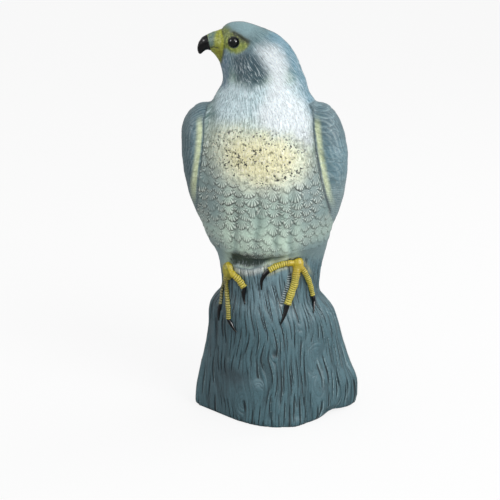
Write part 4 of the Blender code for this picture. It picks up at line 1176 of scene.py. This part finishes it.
# black gloss lacquer over moulded plastic: deep, with small clean highlights
blackLacquer = {
    "grains": {"ripple": (4, 2)},
    "ground": ("#040506", "#0d0f12", "ripple"),
    "relief": (("ripple", 1.0),),
    "bump": (1.0, 0.08),
    "surface": {"Roughness": 0.2, "Coat Weight": 0.2, "Coat Roughness": 0.06, "IOR": 1.3},
}


def smoothed(node, name, voxel, pairs, plain):
    # a CAD solid as an even fine mesh
    piece = newObject(name, fromNodes([node]))
    fuse(piece, voxel)
    relax(piece.data, pairs, plain)
    return piece


def feet():
    enamel = finished("brushedYellowEnamel", yellowEnamel)
    for node, name in (("left_foot", "leftFoot"), ("right_foot", "rightFoot")):
        foot = smoothed(node, name, claws["footVoxel"], 6, 3)
        places = points(foot.data)
        _, run, which = toeLines(places[:, 0], places[:, 2])
        facing = -vectors(foot.data.vertex_normals, "vector")[:, 1]
        ringed = ramp(run, 5, 8) * ramp(facing, -0.35, 0.15)
        rings = 0.5 - 0.5 * np.cos(run * 2 * math.pi / claws["ringPitch"])
        wrinkles = noise(places, (2.2, 2.2, 1.4), 81)
        height = ringed * (claws["ringHeight"] * (np.sqrt(rings) - 0.75) + 0.12 * wrinkles)
        height = height + 0.12 * wrinkles * (1 - ringed) * ramp(facing, -0.2, 0.3)
        setPoints(foot.data, raised(foot.data, height))
        toe = which % 3
        left = node == "left_foot"
        drift = noise(places, (5, 5, 7), 82)
        masks = {
            "run": run,
            "ringed": ringed,
            "orange": ramp(run, 15, 6) * (0.9 if left else 0.15),
            "oliveToe": np.where(toe == 1, 1.0, 0.4) * (0 if left else 1)
            + 0.25 * np.clip(drift, 0, 1),
            "bright": np.where(toe == 0, 0.9, 0.3) * (0.5 if left else 1) * (toe < 2),
            "dull": np.where((toe == 2) & (not left), ramp(run, 8, 16), 0.0),
        }
        for mask, values in masks.items():
            keep(foot.data, mask, values)
        foot.data.materials.append(enamel)
        dress(foot, node)
    lacquer = finished("glossLacquer", blackLacquer)
    for node in nodes:
        if node.endswith("_talon"):
            words = node.split("_")
            talon = smoothed(node, words[0] + words[1].title() + "Talon", claws["clawVoxel"], 5, 2)
            talon.data.materials.append(lacquer)
            dress(talon, node)
    hook = smoothed("beak_hook", "beakHook", claws["hookVoxel"], 5, 2)
    fuller = claws["hookFuller"] * ramp(-points(hook.data)[:, 0], 64, 69)
    setPoints(hook.data, raised(hook.data, fuller))
    hook.data.materials.append(lacquer)
    dress(hook, "beak_hook")


feet()
print("feet, talons and hook done")


# Eyes, washers, base cover and stopper

fittings = {
    "beadRadius": 5.15,
    "beadBulge": 3.3,
    "beadBase": 0.9,
    "stemRadius": 1.6,
    "edge": 0.35,  # the small round on moulded edges
    "pressedEdge": 0.12,
}

# black beads polished to a bright gloss
beadPolish = {**blackLacquer, "surface": {"Roughness": 0.05, "Coat Weight": 0.25,
                                          "Coat Roughness": 0.06, "IOR": 1.3}}

# unpainted polypropylene with the fine grain that its tool was given
coverGrain = {
    "grains": {"cloud": (18, 3), "pores": (0.6, 2)},
    "ground": ("#2a3234", "#3a4446", "cloud"),
    "relief": (("pores", 1.0),),
    "bump": (0.5, 0.12),
    "surface": {"Roughness": 0.5},
}

# soft black rubber, matt and a little open-pored
rubberGrain = {
    **coverGrain,
    "grains": {"cloud": (18, 3), "pores": (0.9, 2)},
    "ground": ("#131415", "#202223", "cloud"),
    "surface": {"Roughness": 0.75},
}


def eyes():
    polish = finished("polishedBlackBead", beadPolish)
    radius, bulge, stem = (fittings[k] for k in ("beadRadius", "beadBulge", "stemRadius"))
    curve = (radius**2 + bulge**2) / (2 * bulge)
    reach = math.asin(radius / curve)
    for node, name in (("left_eye", "leftEye"), ("right_eye", "rightEye")):
        x, z, side, top, end = eyeAxis(node)
        axis = Vector((x, 0, z))
        top, end = top / mm, end / mm
        line = [(curve * math.sin(reach * i / 16), top - curve + curve * math.cos(reach * i / 16))
                for i in range(17)]
        base = top - bulge - fittings["beadBase"]
        line += [(radius, base + 0.3), (radius - 0.3, base), (stem, base), (stem, end + 0.5),
                 (stem - 0.4, end), (0, end)]
        bm = bmesh.new()
        verts = [bm.verts.new((axis.x + r * mm, side * y * mm, axis.z)) for r, y in line]
        edges = [bm.edges.new(pair) for pair in zip(verts, verts[1:])]
        bmesh.ops.spin(bm, geom=verts + edges, cent=axis, axis=(0, 1, 0), angle=2 * math.pi,
                       steps=64, use_merge=True)
        bmesh.ops.remove_doubles(bm, verts=bm.verts, dist=1e-6)
        bmesh.ops.recalc_face_normals(bm, faces=bm.faces)
        bead = newObject(name, bm)
        bead.data.materials.append(polish)
        dress(bead, node)
        bead.data.set_sharp_from_angle(angle=math.radians(40))


def edged(node, name, width):
    # a copy of a turned CAD solid with its edges broken
    bm = fromNodes([node])
    bmesh.ops.dissolve_limit(bm, angle_limit=math.radians(1), verts=bm.verts, edges=bm.edges)
    sharp = [e for e in bm.edges if e.is_manifold and e.calc_face_angle() > math.radians(30)]
    bmesh.ops.bevel(bm, geom=sharp, offset=width * mm, offset_type="OFFSET", affect="EDGES",
                    segments=2, profile=0.5, material=-1, clamp_overlap=True)
    return newObject(name, bm)


def pressedSteel():
    # plain zinc-bright steel, with the fine scratches of the press
    made, tree = newMaterial("pressedSteel")
    place = addNode(tree, "TexCoord").outputs["Object"]
    along = addNode(tree, "Mapping", {"Vector": place, "Scale": (1 / 0.0002, 1, 1 / 0.006)})
    scratch = addNode(tree, "TexNoise", {"Vector": along, "Scale": 1.0, "Detail": 3.0})
    tone = addNode(tree, "Mix", {0: scratch, 6: hexColour("#8f9294"), 7: hexColour("#c4c6c8")},
                   data_type="RGBA")
    rough = addNode(tree, "MapRange", {0: scratch, 3: 0.26, 4: 0.42})
    shader = addNode(tree, "BsdfPrincipled", {"Base Color": tone, "Metallic": 1.0,
                                              "Roughness": rough})
    addNode(tree, "OutputMaterial", {"Surface": shader})
    return made


def underside():
    steel = pressedSteel()
    cover = finished("mouldedPolypropylene", coverGrain)
    rubber = finished("softRubber", rubberGrain)
    edge, pressed = fittings["edge"], fittings["pressedEdge"]
    for node, name, finish, slot, bodyName, width in (
            ("left_eye_washer", "leftWasher", steel, "washers", "decoy", pressed),
            ("right_eye_washer", "rightWasher", steel, "washers", "decoy", pressed),
            ("base_cover", "baseCover", cover, "cover", "decoy", edge),
            ("fill_stopper", "fillStopper", rubber, "stopper", "stopper", edge)):
        piece = edged(node, name, width)
        piece.data.materials.append(finish)
        dress(piece, node, bodyName)
        piece.data.set_sharp_from_angle(angle=math.radians(40))


eyes()
underside()
print("eyes and fittings done")
